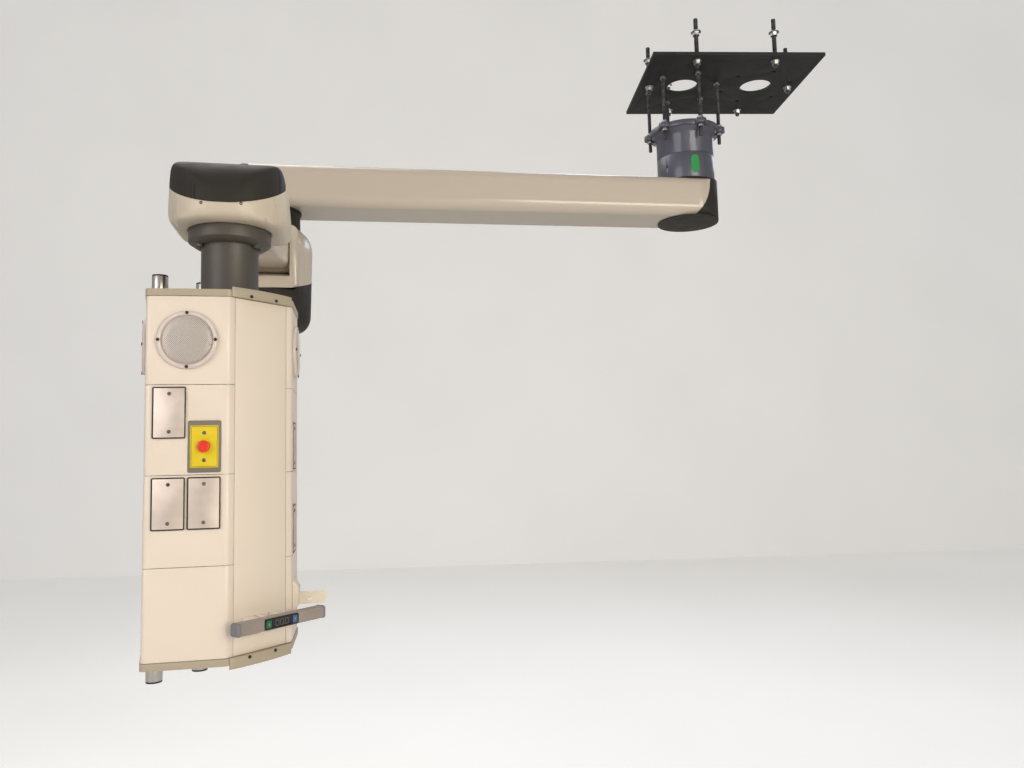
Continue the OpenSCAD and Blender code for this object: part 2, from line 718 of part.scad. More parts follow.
module swivel_collar() color(mid_grey) at_head() translate([0, 0, head_bottom]) {
    rotate_extrude($fn = 96) polygon([[bearing_out / 2 + fit, 4.8], [collar_d / 2, 4.8], [collar_d / 2, -28],
        [collar_d / 2 - 15, -collar_h], [tube_d / 2 + 2, -collar_h], [tube_d / 2 + 2, -collar_h + 10],
        [bearing_out / 2 + fit, -collar_h + 10]]);
    for (a = [-62, 62]) rotate([0, 0, a]) translate([collar_d / 2 - 25, -9, -collar_h - 7])
        cube([11, 18, 14]);
}

module swivel_bearing() color(steel) at_head() translate([0, 0, head_bottom - collar_h + 10 + fit])
    ring(bearing_out, tube_d + 2 * fit, collar_h - 12);

// Service head
frame_t = 6;
tube_flange_d = 212;

module drop_tube() color(mid_grey) at_body() difference() {
    union() {
        translate([0, 0, stack_top + 0.2])
            cylinder(d = tube_d, h = head_bottom + tube_rise - stack_top, $fn = 96);
        translate([0, 0, stack_top + 0.2]) cylinder(d = tube_flange_d, h = 8);
        translate([0, 0, head_bottom - 1.4]) cylinder(d = tube_ring_d, h = tube_ring_h);
    }
    translate([0, 0, stack_top - 1])
        cylinder(d = tube_d - 2 * tube_wall, h = head_bottom + tube_rise - stack_top + 4);
}

corner_r = 12;
skin_fn = 32;

module round_plan(inset) offset(r = corner_r - inset, $fn = skin_fn) offset(delta = -corner_r) polygon(plan);

module post_holes(z0, z1, play = 1) for (x = [-1, 1]) translate([x * post_x, post_y, z0])
    cylinder(d = post_d + 2 * play, h = z1 - z0);

module head_frame() color(steel) at_body() difference() {
    for (z = [stack_bottom, stack_top - frame_t]) translate([0, 0, z]) linear_extrude(frame_t)
        round_plan(panel_t + 0.4);
    translate([0, 0, stack_top - 20]) cylinder(d = tube_d - 2 * tube_wall, h = 40);
    translate([0, 0, stack_bottom - 1]) cylinder(d = 80, h = 20);
    post_holes(stack_bottom - 1, stack_top + 1, 0);
}

// A corner angle behind each edge, from plate to plate, that the panels screw to
angle_t = 2.5;
angle_reach = 12;
module head_uprights() color(steel) at_body() translate([0, 0, stack_bottom + frame_t])
    linear_extrude(stack_h - 2 * frame_t) intersection() {
        difference() {
            round_plan(panel_t + fit);
            round_plan(panel_t + fit + angle_t);
        }
        for (p = plan) translate([p[0] * 0.97, p[1] * 0.97]) circle(r = angle_reach, $fn = 32);
    }

trim_out = 2;
module trim_tray(z, up) difference() {
    translate([0, 0, z]) linear_extrude(trim_h - 0.2) round_plan(-trim_out);
    translate([0, 0, up ? z - 1 : z + 3]) linear_extrude(trim_h - 2.2) round_plan(1);
}

module top_trim() color(trim_col) at_body() difference() {
    trim_tray(stack_top + 0.2, true);
    translate([0, 0, stack_top]) cylinder(d = tube_d + 3, h = 2 * trim_h, $fn = 96);
    post_holes(stack_top, body_top + 1);
}

module bottom_trim() color(trim_col) at_body() difference() {
    trim_tray(body_bottom, false);
    translate([0, 0, body_bottom - 1]) cylinder(d = 80, h = 2 * trim_h);
    post_holes(body_bottom - 1, stack_bottom);
}

// The sheet skin of the service head and the strips that cut it into panels
module skin(z0, z1) translate([0, 0, z0]) linear_extrude(z1 - z0) difference() {
    round_plan(0);
    round_plan(panel_t);
}

bracket_half = front_w / 2 - corner_r * tan(22.5) - 0.5;
front_half = bracket_half - 12;
side_half = side_w / 2 - corner_r * tan(side_turn / 2) - 0.5;
rear_half = rear_x - corner_r * tan((135 - side_turn) / 2) - 0.5;
module strip(x0, x1) translate([x0, -8, stack_bottom - 1]) cube([x1 - x0, 30, stack_h + 2]);
module front_strip(grow = 0) on_front() strip(-front_half - grow, front_half + grow);
module rear_strip(grow = 0)
    translate([0, rear_y, 0]) rotate([0, 0, 180]) strip(-rear_half - grow, rear_half + grow);
module side_strips(grow = 0) {
    on_rear_right() strip(-side_half - grow, side_half + 20);
    on_rear_left() strip(-side_half - 20, side_half + grow);
}

module front_panel() color(cream) at_body() intersection() {
    skin(stack_bottom + seam / 2, stack_top - seam / 2);
    front_strip();
}

module rear_panel() color(cream) at_body() intersection() {
    skin(stack_bottom + seam / 2, stack_top - seam / 2);
    rear_strip();
}

// Places on the faces: [x, drop below the top of the modules]
edge_gap = 4.5;
low_in_2 = 2 * module_h - edge_gap - gang_h / 2;
left_plates = [[-36, module_h + edge_gap + gang_h / 2], [-36, 2 * module_h + edge_gap + gang_h / 2],
               [38, 2 * module_h + edge_gap + gang_h / 2]];
right_plates = [[-42, low_in_2], [-42, low_in_2 + module_h]];
call_place = [38, low_in_2];
speaker_drop = module_h / 2;
box_w = 54;
box_h = 92;
box_deep = 38;

module at_place(p) translate([p[0], 0, stack_top - p[1]]) children();
module axis_in() rotate([-90, 0, 0]) children();
module speaker_hole()
    at_place([0, speaker_drop]) axis_in() translate([0, 0, -10]) cylinder(d = grille_d - 6, h = 30);
module box_holes(places)
    for (p = places) at_place(p) face_slab(box_w - 6, box_h - 6, 3, -1, panel_t + 1);

module module_stack() for (i = [0:module_n - 1])
    skin(stack_top - (i + 1) * module_h + seam / 2, stack_top - i * module_h - seam / 2);

module left_modules() color(cream) at_body() difference() {
    intersection() {
        module_stack();
        on_left() strip(-face_w, face_w / 2 + 24);
    }
    front_strip(seam);
    side_strips(seam);
    on_left() {
        speaker_hole();
        box_holes(concat(left_plates, [call_place]));
    }
}

module right_modules() color(cream) at_body() difference() {
    intersection() {
        module_stack();
        on_right() strip(-face_w / 2 - 24, face_w);
    }
    front_strip(seam);
    side_strips(seam);
    on_right() {
        speaker_hole();
        box_holes(right_plates);
    }
}

module rear_left_modules() color(cream) at_body() difference() {
    intersection() {
        module_stack();
        on_rear_left() strip(-side_half - 20, side_half);
    }
    rear_strip(seam);
    on_rear_left() speaker_hole();
}

module rear_right_modules() color(cream) at_body() difference() {
    intersection() {
        module_stack();
        on_rear_right() strip(-side_half, side_half + 20);
    }
    rear_strip(seam);
    on_rear_right() speaker_hole();
}

// Bowed bracket plates that clamp the front panel's top and bottom edges
bracket_bow = 8;
bracket_over = 6;
module bowed_plate(h) {
    w = bracket_half;
    y = -front_gap - trim_out - 0.2;
    radius = (w * w + bracket_bow * bracket_bow) / (2 * bracket_bow);
    half = asin(w / radius);
    linear_extrude(h) polygon(concat([[w, y], [-w, y]],
        arc(0, y - 4 - bracket_bow + radius, radius, radius, 270 - half, 270 + half, 14)));
}

module trim_brackets() color(trim_col) at_body() {
    translate([0, 0, stack_top + 0.2]) bowed_plate(trim_h + bracket_over);
    translate([0, 0, body_bottom - bracket_over - 2]) bowed_plate(trim_h + bracket_over + 2);
}

module each_speaker() {
    on_left() at_place([0, speaker_drop]) children();
    on_right() at_place([0, speaker_drop]) children();
    on_rear_left() at_place([0, speaker_drop]) children();
    on_rear_right() at_place([0, speaker_drop]) children();
}

bezel_t = 9;
module speaker_bezels() color("gainsboro") at_body() each_speaker() rotate([90, 0, 0])
    rotate_extrude($fn = 72) polygon(concat(
        [[grille_d / 2 - 3, 0.1], [speaker_d / 2, 0.1], [speaker_d / 2, 3]],
        arc(speaker_d / 2 - 6, 3, 6, bezel_t - 3, 10, 90, 5), [[grille_d / 2 + 2, bezel_t - 1],
        [grille_d / 2 + fit, 4], [grille_d / 2 + fit, 2], [grille_d / 2 - 3, 2]]));

module speaker_grilles() color("darkgray") at_body() each_speaker() rotate([90, 0, 0])
    rotate_extrude($fn = 72) polygon([[0, 4.4], [grille_d / 2 - 12, 3.6], [grille_d / 2, 2.2],
        [grille_d / 2, 4], [grille_d / 2 - 12, 6.4], [0, 7.6]]);

module speaker_units() color(rod_col) at_body() each_speaker() rotate([-90, 0, 0]) difference() {
    union() {
        translate([0, 0, panel_t + 0.2]) cylinder(d = grille_d + 8, h = 3);
        translate([0, 0, panel_t + 3]) cylinder(d1 = grille_d - 10, d2 = 58, h = 30);
        translate([0, 0, panel_t + 32]) cylinder(d = 58, h = 16);
    }
    translate([0, 0, panel_t - 1]) cylinder(d1 = grille_d - 14, d2 = 30, h = 26);
}

posts_z0 = body_bottom - post_over;
posts_z1 = body_top + post_over;
// A post is turned down a little inside the head, so its bare ends are what clamps grip
module posts() color(steel) at_body() for (x = [-1, 1]) translate([x * post_x, post_y, 0]) difference() {
    union() {
        translate([0, 0, posts_z0 + 1]) cylinder(d = post_d - 0.6, h = posts_z1 - posts_z0 - 2);
        translate([0, 0, posts_z0]) cylinder(d = post_d, h = post_over - 4);
        translate([0, 0, body_top + 4]) cylinder(d = post_d, h = post_over - 4);
    }
    translate([0, 0, posts_z0 - 1]) cylinder(d = post_d - 4, h = posts_z1 - posts_z0 + 2);
}

module post_caps() color(black) at_body() for (x = [-1, 1], up = [0, 1])
    translate([x * post_x, post_y, up ? posts_z1 : posts_z0]) mirror([0, 0, 1 - up]) {
        translate([0, 0, 0.2]) cylinder(d = post_d - 0.6, h = 4);
        translate([0, 0, -12]) cylinder(d = post_d - 4 - 2 * fit, h = 13);
    }

module gang_plate() {
    face_slab(gang_w, gang_h, 4, -gang_t / 2, -0.1);
    face_slab(gang_w - 3, gang_h - 3, 3, -gang_t, -gang_t / 2 + 0.1);
}

module wall_plates() color(steel) at_body() {
    on_left() for (p = left_plates) at_place(p) gang_plate();
    on_right() for (p = right_plates) at_place(p) gang_plate();
}

module back_box() difference() {
    face_slab(box_w, box_h, 3, panel_t + 0.2, panel_t + box_deep);
    face_slab(box_w - 4, box_h - 4, 2, panel_t - 1, panel_t + box_deep - 2);
}

module back_boxes() color("lightsteelblue") at_body() {
    on_left() for (p = concat(left_plates, [call_place])) at_place(p) back_box();
    on_right() for (p = right_plates) at_place(p) back_box();
}

// Nurse call: a grey plate, a yellow insert and a mushroom button that is pushed in
button_travel = 4;
button_stem = 14;
insert_t = 0.8;
module call_hole() axis_in() translate([0, 0, -12]) cylinder(d = button_stem + 1, h = 30, $fn = 48);

module call_plate() color("gray") at_body() on_left() at_place(call_place) difference() {
    gang_plate();
    call_hole();
}

module call_insert() color("gold") at_body() on_left() at_place(call_place) difference() {
    face_slab(59, 92, 2, -gang_t - insert_t, -gang_t - 0.05);
    call_hole();
}

module call_button() color("red") at_body() on_left() at_place(call_place) axis_in() {
    head_y = -gang_t - insert_t - button_travel - 0.5;
    rotate_extrude($fn = 48) polygon(concat([[0, head_y], [button_d / 2, head_y]],
        arc(button_d / 2 - 4, head_y - 4, 4, 4, 0, -90, 5), [[0, head_y - 9]]));
    translate([0, 0, head_y - 1]) cylinder(d = button_stem, h = 24 - head_y, $fn = 48);
}

// Handle with a display and two keys
bar_deep = 28;
bar_y = -handle_gap - bar_deep;
display_w = 94;
display_h = 24;
display_x = -7;
key_w = 13;
key_h = 16;
key_x = 36;
key_travel = 1.2;
handle_x = 20;
arm_places = [[-56, 28], [-29, 12], [9, 14]];

module at_handle() at_body() on_front() translate([handle_x, 0, body_bottom + handle_z]) children();

module handle_bar() color([0.66, 0.63, 0.60]) at_handle() difference() {
    intersection() {
        face_slab(handle_len, handle_h, 12, bar_y, bar_y + bar_deep);
        translate([0, bar_y + bar_deep / 2, 0])
            linear_extrude(2 * handle_h, center = true) round_rect(handle_len, bar_deep, 10);
        translate([0, bar_y + bar_deep / 2, 0]) rotate([90, 0, 90])
            linear_extrude(handle_len + 2, center = true) round_rect(bar_deep, handle_h, 7);
    }
    translate([display_x, 0, 0]) face_slab(display_w + 2 * fit, display_h + 2 * fit, 5, bar_y - 1, bar_y + 4);
    for (x = [-key_x, key_x]) translate([display_x + x, 0, 0])
        face_slab(key_w - 1, key_h - 1, 2, bar_y, bar_y + 4 + 2 + key_travel + 1);
}

module handle_arms() color(cream) at_handle() for (p = arm_places)
    translate([p[0] - p[1] / 2, 0, 0]) rotate([90, 0, 90]) linear_extrude(p[1])
        polygon([[-0.2, -30], [-0.2, 14], [-6, 14], [-handle_gap + 0.2, 11], [-handle_gap + 0.2, -11]]);

module handle_display() color(black) at_handle() translate([display_x, 0, 0]) difference() {
    face_slab(display_w, display_h, 5, bar_y - 0.6, bar_y + 3.8);
    for (x = [-key_x, key_x]) translate([x, 0, 0]) {
        face_slab(key_w + 2 * fit, key_h + 2 * fit, 2, bar_y - 2, bar_y + 5);
    }
}

module key(x) at_handle() translate([display_x + x, 0, 0]) {
    face_slab(key_w, key_h, 2, bar_y - 1.6, bar_y + 2.4);
    face_slab(6, 6, 1, bar_y + 2, bar_y + 6);
}

module up_key() color([0.1, 0.5, 0.3]) key(-key_x);
module down_key() color([0.3, 0.45, 0.65]) key(key_x);

// Accessory bracket on the right face
base_z = body_bottom + 115;
base_w = 60;
base_h = 84;
base_t = 14;
base_x = -35;
tab_reach = 77;
tab_h = 30;
tab_t = 3;

module side_base() color(cream) at_body() on_right() translate([base_x, 0, base_z]) difference() {
    rotate([90, 0, 90]) linear_extrude(base_w, center = true)
        polygon([[-0.1, -base_h / 2], [-0.1, base_h / 2], [-base_t + 10, base_h / 2 - 6],
                 [-base_t, base_h / 2 - 22], [-base_t, -base_h / 2 + 22], [-base_t + 10, -base_h / 2 + 6]]);
    translate([-tab_t / 2 - fit, -base_t - 1, -22 - fit])
        cube([tab_t + 2 * fit, base_t - 2, tab_h + 2 * fit]);
}

module side_bracket() color("ivory") at_body() on_right() translate([base_x, 0, base_z - 22]) difference() {
    union() {
        translate([-tab_t / 2, -tab_reach + 6, 0]) cube([tab_t, tab_reach - 10, tab_h]);
        translate([-tab_t / 2, -tab_reach, 6]) cube([tab_t, 8, tab_h - 12]);
        for (z = [6, tab_h - 6]) translate([0, -tab_reach + 6, z]) rotate([0, 90, 0])
            cylinder(d = 12, h = tab_t, center = true, $fn = 32);
    }
    translate([-tab_t, -44, 8]) cube([2 * tab_t, 10, 6]);
}

ceiling_plate();
building_rods();
building_nuts();
hub_studs();
hub_nuts();
hub_casting();
hub_cover();
hub_bearings();
hub_shaft();
arm_beam();
arm_hub_cap();
arm_elbow_cap();
elbow_bearings();
elbow_shaft();
elbow_collar();
elbow_housing();
elbow_cover();
root_pin();
root_link_pin();
lift_shell();
lift_spring();
lift_link();
tip_pin();
tip_link_pin();
head_housing();
head_cap();
swivel_collar();
swivel_bearing();
drop_tube();
head_frame();
head_uprights();
top_trim();
bottom_trim();
front_panel();
rear_panel();
left_modules();
right_modules();
rear_left_modules();
rear_right_modules();
trim_brackets();
posts();
post_caps();
speaker_bezels();
speaker_grilles();
speaker_units();
wall_plates();
back_boxes();
call_plate();
call_insert();
call_button();
handle_bar();
handle_arms();
handle_display();
up_key();
down_key();
side_base();
side_bracket();
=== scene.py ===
import json
import math

import bpy
from mathutils import Matrix, Vector

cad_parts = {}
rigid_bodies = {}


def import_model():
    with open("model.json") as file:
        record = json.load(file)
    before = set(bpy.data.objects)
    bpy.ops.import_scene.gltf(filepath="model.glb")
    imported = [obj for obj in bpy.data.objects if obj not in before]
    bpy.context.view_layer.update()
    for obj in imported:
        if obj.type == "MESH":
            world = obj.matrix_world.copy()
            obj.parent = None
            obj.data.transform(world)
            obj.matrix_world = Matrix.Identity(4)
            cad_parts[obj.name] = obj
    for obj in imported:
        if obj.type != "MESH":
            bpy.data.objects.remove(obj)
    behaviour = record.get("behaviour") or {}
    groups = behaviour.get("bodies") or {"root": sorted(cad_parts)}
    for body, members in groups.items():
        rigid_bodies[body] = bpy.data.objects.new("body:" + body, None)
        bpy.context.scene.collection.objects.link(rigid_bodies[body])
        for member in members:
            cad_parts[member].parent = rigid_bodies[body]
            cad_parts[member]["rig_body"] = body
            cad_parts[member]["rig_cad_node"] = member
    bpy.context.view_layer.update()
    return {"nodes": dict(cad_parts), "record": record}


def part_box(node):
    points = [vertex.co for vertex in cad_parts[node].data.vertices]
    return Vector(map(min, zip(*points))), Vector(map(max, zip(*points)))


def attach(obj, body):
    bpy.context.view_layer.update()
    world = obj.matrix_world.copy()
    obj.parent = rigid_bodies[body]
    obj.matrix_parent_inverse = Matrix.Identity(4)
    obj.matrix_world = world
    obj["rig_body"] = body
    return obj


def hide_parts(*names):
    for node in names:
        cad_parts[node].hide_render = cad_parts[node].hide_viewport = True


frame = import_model()
bodyNodes = frame["record"]["behaviour"]["bodies"]
nodeBody = {node: body for body, nodes in bodyNodes.items() for node in nodes}
print("stage: frame loaded,", len(nodeBody), "nodes")

# The photo's camera, in the part's own frame
photoCamera = {
    "place": Vector((-1.0245, -3.0501, -1.464)),
    "across": Vector((0.99854, -0.05408, 0)),
    "ahead": Vector((0.05408, 0.99854, 0)),
    "pitch": math.radians(5.03),
    "roll": math.radians(1.34),
    "lens": 28.125,
    "sensor": 36,
    "farthest": 60,
    "pixels": (1024, 768),
}


def makeCamera():
    c = photoCamera
    up = Vector((0, 0, 1))
    forward = c["ahead"] * math.cos(c["pitch"]) + up * math.sin(c["pitch"])
    level = up * math.cos(c["pitch"]) - c["ahead"] * math.sin(c["pitch"])
    right = c["across"] * math.cos(c["roll"]) - level * math.sin(c["roll"])
    top = c["across"] * math.sin(c["roll"]) + level * math.cos(c["roll"])
    data = bpy.data.cameras.new("photoCamera")
    data.lens = c["lens"]
    data.sensor_width = c["sensor"]
    data.sensor_fit = "HORIZONTAL"
    data.clip_end = c["farthest"]
    camera = bpy.data.objects.new("photoCamera", data)
    bpy.context.scene.collection.objects.link(camera)
    turn = Matrix((right, top, -forward)).transposed().to_4x4()
    camera.matrix_world = Matrix.Translation(c["place"]) @ turn
    bpy.context.scene.camera = camera


makeCamera()
print("stage: camera placed")


# Small helpers for materials

def newMaterial(name):
    material = bpy.data.materials.new(name)
    material.use_nodes = True
    tree = material.node_tree
    shader = tree.nodes["Principled BSDF"]
    return material, tree, shader


def addNode(tree, kind, **values):
    node = tree.nodes.new(kind)
    for key, value in values.items():
        if hasattr(node, key):
            setattr(node, key, value)
        else:
            node.inputs[key.replace("_", " ").title()].default_value = value
    return node


def objectPlace(tree, scale=(1, 1, 1), turn=(0, 0, 0)):
    place = addNode(tree, "ShaderNodeTexCoord")
    mapping = addNode(tree, "ShaderNodeMapping")
    mapping.inputs["Scale"].default_value = scale
    mapping.inputs["Rotation"].default_value = turn
    tree.links.new(place.outputs["Object"], mapping.inputs["Vector"])
    return mapping.outputs["Vector"]


def noiseAt(tree, vector, scale, detail=3, rough=0.5):
    noise = addNode(tree, "ShaderNodeTexNoise", scale=scale, detail=detail, roughness=rough)
    tree.links.new(vector, noise.inputs["Vector"])
    return noise.outputs["Fac"]


def ramp(tree, value, low, high, start=0.35, end=0.65):
    node = addNode(tree, "ShaderNodeMapRange")
    node.inputs["From Min"].default_value = start
    node.inputs["From Max"].default_value = end
    node.inputs["To Min"].default_value = low
    node.inputs["To Max"].default_value = high
    tree.links.new(value, node.inputs["Value"])
    return node.outputs["Result"]


def mixColour(tree, value, first, second):
    node = addNode(tree, "ShaderNodeMix", data_type="RGBA")
    node.inputs[6].default_value = (*first, 1)
    node.inputs[7].default_value = (*second, 1)
    tree.links.new(value, node.inputs[0])
    return node.outputs[2]


def feed(tree, shader, socket, value):
    tree.links.new(value, shader.inputs[socket])


def bumpFrom(tree, shader, height, strength, distance):
    bump = addNode(tree, "ShaderNodeBump")
    bump.inputs["Strength"].default_value = strength
    bump.inputs["Distance"].default_value = distance
    tree.links.new(height, bump.inputs["Height"])
    tree.links.new(bump.outputs["Normal"], shader.inputs["Normal"])


def shade(colour, factor):
    return tuple(min(1, channel * factor) for channel in colour)


def paintFinish(name, colour, rough, coat=0.0, metallic=0.0, peel=380, depth=0.00006, drift=1.0):
    # Sprayed paint or powder coat: fine orange peel, a slow drift of tone and uneven gloss
    material, tree, shader = newMaterial(name)
    vector = objectPlace(tree)
    tone = ramp(tree, noiseAt(tree, vector, scale=2.6, detail=5), 0, 1, start=0.2, end=0.8)
    pale, deep = shade(colour, 1 + 0.03 * drift), shade(colour, 1 - 0.045 * drift)
    feed(tree, shader, "Base Color", mixColour(tree, tone, deep, pale))
    gloss = noiseAt(tree, vector, scale=11, detail=6, rough=0.6)
    low, high = rough - 0.05 * drift, rough + 0.07 * drift
    feed(tree, shader, "Roughness", ramp(tree, gloss, low, high, start=0.25, end=0.75))
    shader.inputs["Metallic"].default_value = metallic
    shader.inputs["Coat Weight"].default_value = coat
    shader.inputs["Coat Roughness"].default_value = 0.12
    bumpFrom(tree, shader, noiseAt(tree, vector, peel, detail=2), 0.35, depth)
    return material


def plasticFinish(name, colour, rough, grain=620, depth=0.0001, coat=0.0, sheen=0.5):
    # Moulded plastic with a spark-eroded grain
    material, tree, shader = newMaterial(name)
    vector = objectPlace(tree)
    cells = addNode(tree, "ShaderNodeTexVoronoi", scale=grain)
    tree.links.new(vector, cells.inputs["Vector"])
    tone = ramp(tree, noiseAt(tree, vector, scale=5, detail=5), 0, 1)
    feed(tree, shader, "Base Color", mixColour(tree, tone, shade(colour, 0.9), shade(colour, 1.1)))
    gloss = noiseAt(tree, vector, scale=24, detail=5)
    feed(tree, shader, "Roughness", ramp(tree, gloss, rough - 0.06, rough + 0.06))
    shader.inputs["Specular IOR Level"].default_value = sheen
    shader.inputs["Coat Weight"].default_value = coat
    shader.inputs["Coat Roughness"].default_value = 0.2
    bumpFrom(tree, shader, cells.outputs["Distance"], 0.25, depth)
    return material


def brushedFinish(name, colour, rough, lines=(520, 520, 5), turn=(0, 0, 0)):
    # Metal with long fine scratches along one direction
    material, tree, shader = newMaterial(name)
    vector = objectPlace(tree, lines, turn)
    scratch = noiseAt(tree, vector, scale=1.0, detail=4, rough=0.7)
    shader.inputs["Metallic"].default_value = 1.0
    feed(tree, shader, "Base Color", mixColour(tree, scratch, shade(colour, 0.86), shade(colour, 1.1)))
    feed(tree, shader, "Roughness", ramp(tree, scratch, rough - 0.08, rough + 0.12, start=0.3, end=0.7))
    bumpFrom(tree, shader, scratch, 0.3, 0.00004)
    return material


def plateFinish(name, colour, rough):
    # Thin stainless sheet, brushed across, with the cloudy sheen that handling leaves
    material, tree, shader = newMaterial(name)
    vector = objectPlace(tree, (7, 7, 600))
    scratch = noiseAt(tree, vector, scale=1.0, detail=4, rough=0.7)
    patches = noiseAt(tree, objectPlace(tree), scale=16, detail=3, rough=0.5)
    cloud = ramp(tree, patches, 0, 1, start=0.34, end=0.7)
    shader.inputs["Metallic"].default_value = 0.55
    clouded = mixColour(tree, cloud, shade(colour, 1.06), shade(colour, 0.84))
    feed(tree, shader, "Base Color", clouded)
    feed(tree, shader, "Roughness", ramp(tree, scratch, rough - 0.1, rough + 0.12, start=0.3, end=0.7))
    bumpFrom(tree, shader, scratch, 0.3, 0.00004)
    return material


def threadFinish(name, colour, rough):
    # Oiled black thread: dull crests, grime in patches
    material, tree, shader = newMaterial(name)
    vector = objectPlace(tree)
    grime = ramp(tree, noiseAt(tree, vector, scale=90, detail=5, rough=0.7), 0, 1, start=0.4, end=0.62)
    shader.inputs["Metallic"].default_value = 0.9
    feed(tree, shader, "Base Color", mixColour(tree, grime, shade(colour, 1.25), shade(colour, 0.5)))
    feed(tree, shader, "Roughness", ramp(tree, noiseAt(tree, vector, scale=60), rough - 0.05, rough + 0.1))
    bumpFrom(tree, shader, noiseAt(tree, vector, scale=900, detail=2), 0.3, 0.00008)
    return material


def zincFinish(name, colour, rough):
    # Plated steel with a faint spangle and darker stains
    material, tree, shader = newMaterial(name)
    vector = objectPlace(tree)
    cells = addNode(tree, "ShaderNodeTexVoronoi", scale=180)
    tree.links.new(vector, cells.inputs["Vector"])
    stain = ramp(tree, noiseAt(tree, vector, scale=30, detail=6, rough=0.7), 0, 1, start=0.4, end=0.7)
    shader.inputs["Metallic"].default_value = 1.0
    feed(tree, shader, "Base Color", mixColour(tree, stain, colour, shade(colour, 0.6)))
    spangle = ramp(tree, cells.outputs["Distance"], rough - 0.06, rough + 0.12, start=0, end=1)
    feed(tree, shader, "Roughness", spangle)
    bumpFrom(tree, shader, noiseAt(tree, vector, scale=700), 0.2, 0.00005)
    return material


# Every finish of the record, with the colour that the photo shows; the last three are for small trim, and the
# first of them is painted shade: a near-black rim round each wall plate
finishes = {
    "plate_black": paintFinish("blackPlateCoat", (0.007, 0.007, 0.008), 0.62),
    "rod_steel": threadFinish("threadedRod", (0.16, 0.16, 0.17), 0.42),
    "zinc": zincFinish("zincPlate", (0.56, 0.55, 0.54), 0.34),
    "hub_paint": paintFinish("hubMetallicPaint", (0.095, 0.098, 0.13), 0.4, coat=0.3, metallic=0.4),
    "machined_steel": brushedFinish("machinedSteel", (0.5, 0.5, 0.5), 0.3, (9, 9, 500)),
    "beam_white": paintFinish("beamGlossCoat", (0.53, 0.465, 0.385), 0.25, coat=0.4, drift=0.25),
    "cap_charcoal": plasticFinish("charcoalCap", (0.03, 0.027, 0.023), 0.55, sheen=0.18),
    "head_cream": paintFinish("headWarmCoat", (0.56, 0.49, 0.39), 0.42, coat=0.1),
    "collar_grey": paintFinish("collarGreyCoat", (0.07, 0.062, 0.052), 0.45),
    "frame_steel": zincFinish("frameSheetSteel", (0.5, 0.5, 0.49), 0.4),
    "trim_beige": paintFinish("trimBeigeCoat", (0.41, 0.35, 0.26), 0.42),
    "panel_cream": paintFinish("panelWarmCoat", (0.76, 0.67, 0.57), 0.38, coat=0.1),
    "post_steel": brushedFinish("postBrushedTube", (0.55, 0.52, 0.48), 0.26, (420, 420, 4)),
    "post_cap": plasticFinish("postCapPlastic", (0.02, 0.02, 0.02), 0.5),
    "bezel_white": plasticFinish("speakerBezel", (0.66, 0.58, 0.53), 0.34, grain=900, depth=0.00004),
    "grille_silver": paintFinish("speakerGrilleSheet", (0.6, 0.55, 0.5), 0.42, metallic=0.35),
    "speaker_black": plasticFinish("speakerBasket", (0.02, 0.02, 0.022), 0.5),
    "faceplate_steel": plateFinish("faceplateBrushed", (0.74, 0.64, 0.56), 0.38),
    "box_zinc": zincFinish("backBoxZinc", (0.5, 0.52, 0.55), 0.4),
    "call_grey": plasticFinish("callPlateGrey", (0.19, 0.165, 0.13), 0.45),
    "insert_yellow": plasticFinish("callInsertYellow", (0.74, 0.56, 0.01), 0.42, depth=0.00004),
    "button_red": plasticFinish("callButtonRed", (0.74, 0.025, 0.008), 0.3, grain=300, depth=0.00002,
                                coat=0.4),
    "handle_grey": plasticFinish("handleWarmGrey", (0.3, 0.255, 0.225), 0.44),
    "display_black": plasticFinish("displayCover", (0.004, 0.004, 0.005), 0.16, grain=200, depth=0.00001,
                                   coat=0.5),
    "key_green": plasticFinish("keyGreen", (0.012, 0.13, 0.06), 0.45),
    "key_blue": plasticFinish("keyBlue", (0.05, 0.12, 0.27), 0.45),
    "bracket_ivory": paintFinish("bracketIvoryCoat", (0.78, 0.71, 0.58), 0.35),
    # Painted shade: a near-black colour for the thin rim round each wall plate, standing in for the shadow at
    # the plate's edge
    "plate_edge_shade": plasticFinish("plateRimShadow", (0.024, 0.018, 0.013), 0.5),
    "hub_pill": plasticFinish("hubPillGreen", (0.012, 0.27, 0.06), 0.4, depth=0.00003),
    "handle_end": plasticFinish("handleEndGrey", (0.19, 0.195, 0.21), 0.42),
}
print("stage: finishes made,", len(finishes))


# Helpers for pieces

def only(piece):
    bpy.ops.object.select_all(action="DESELECT")
    piece.select_set(True)
    bpy.context.view_layer.objects.active = piece


def editAll(piece):
    only(piece)
    bpy.ops.object.mode_set(mode="EDIT")
    bpy.ops.mesh.select_all(action="SELECT")


def endEdit():
    bpy.ops.object.mode_set(mode="OBJECT")


def applyBevel(piece, width, segments=2, angle=38):
    only(piece)
    bevel = piece.modifiers.new("softEdge", "BEVEL")
    bevel.width = width
    bevel.segments = segments
    bevel.limit_method = "ANGLE"
    bevel.angle_limit = math.radians(angle)
    bevel.use_clamp_overlap = True
    bpy.ops.object.modifier_apply(modifier=bevel.name)


def settle(piece, body, slot, smooth=32, finish=None):
    # The piece's place goes into its mesh, then it gets its finish and its body
    only(piece)
    bpy.ops.object.transform_apply(location=True, rotation=True, scale=True)
    bpy.ops.object.shade_smooth_by_angle(angle=math.radians(smooth))
    piece.data.materials.clear()
    piece.data.materials.append(finishes[finish or slot])
    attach(piece, body)
    return piece


def joined(pieces, name):
    bpy.ops.object.select_all(action="DESELECT")
    for piece in pieces:
        piece.select_set(True)
    bpy.context.view_layer.objects.active = pieces[0]
    bpy.ops.object.transform_apply(location=True, rotation=True, scale=True)
    if len(pieces) > 1:
        bpy.ops.object.join()
    pieces[0].name = name
    return pieces[0]


def discard(model):
    bpy.data.objects.remove(model, do_unlink=True)


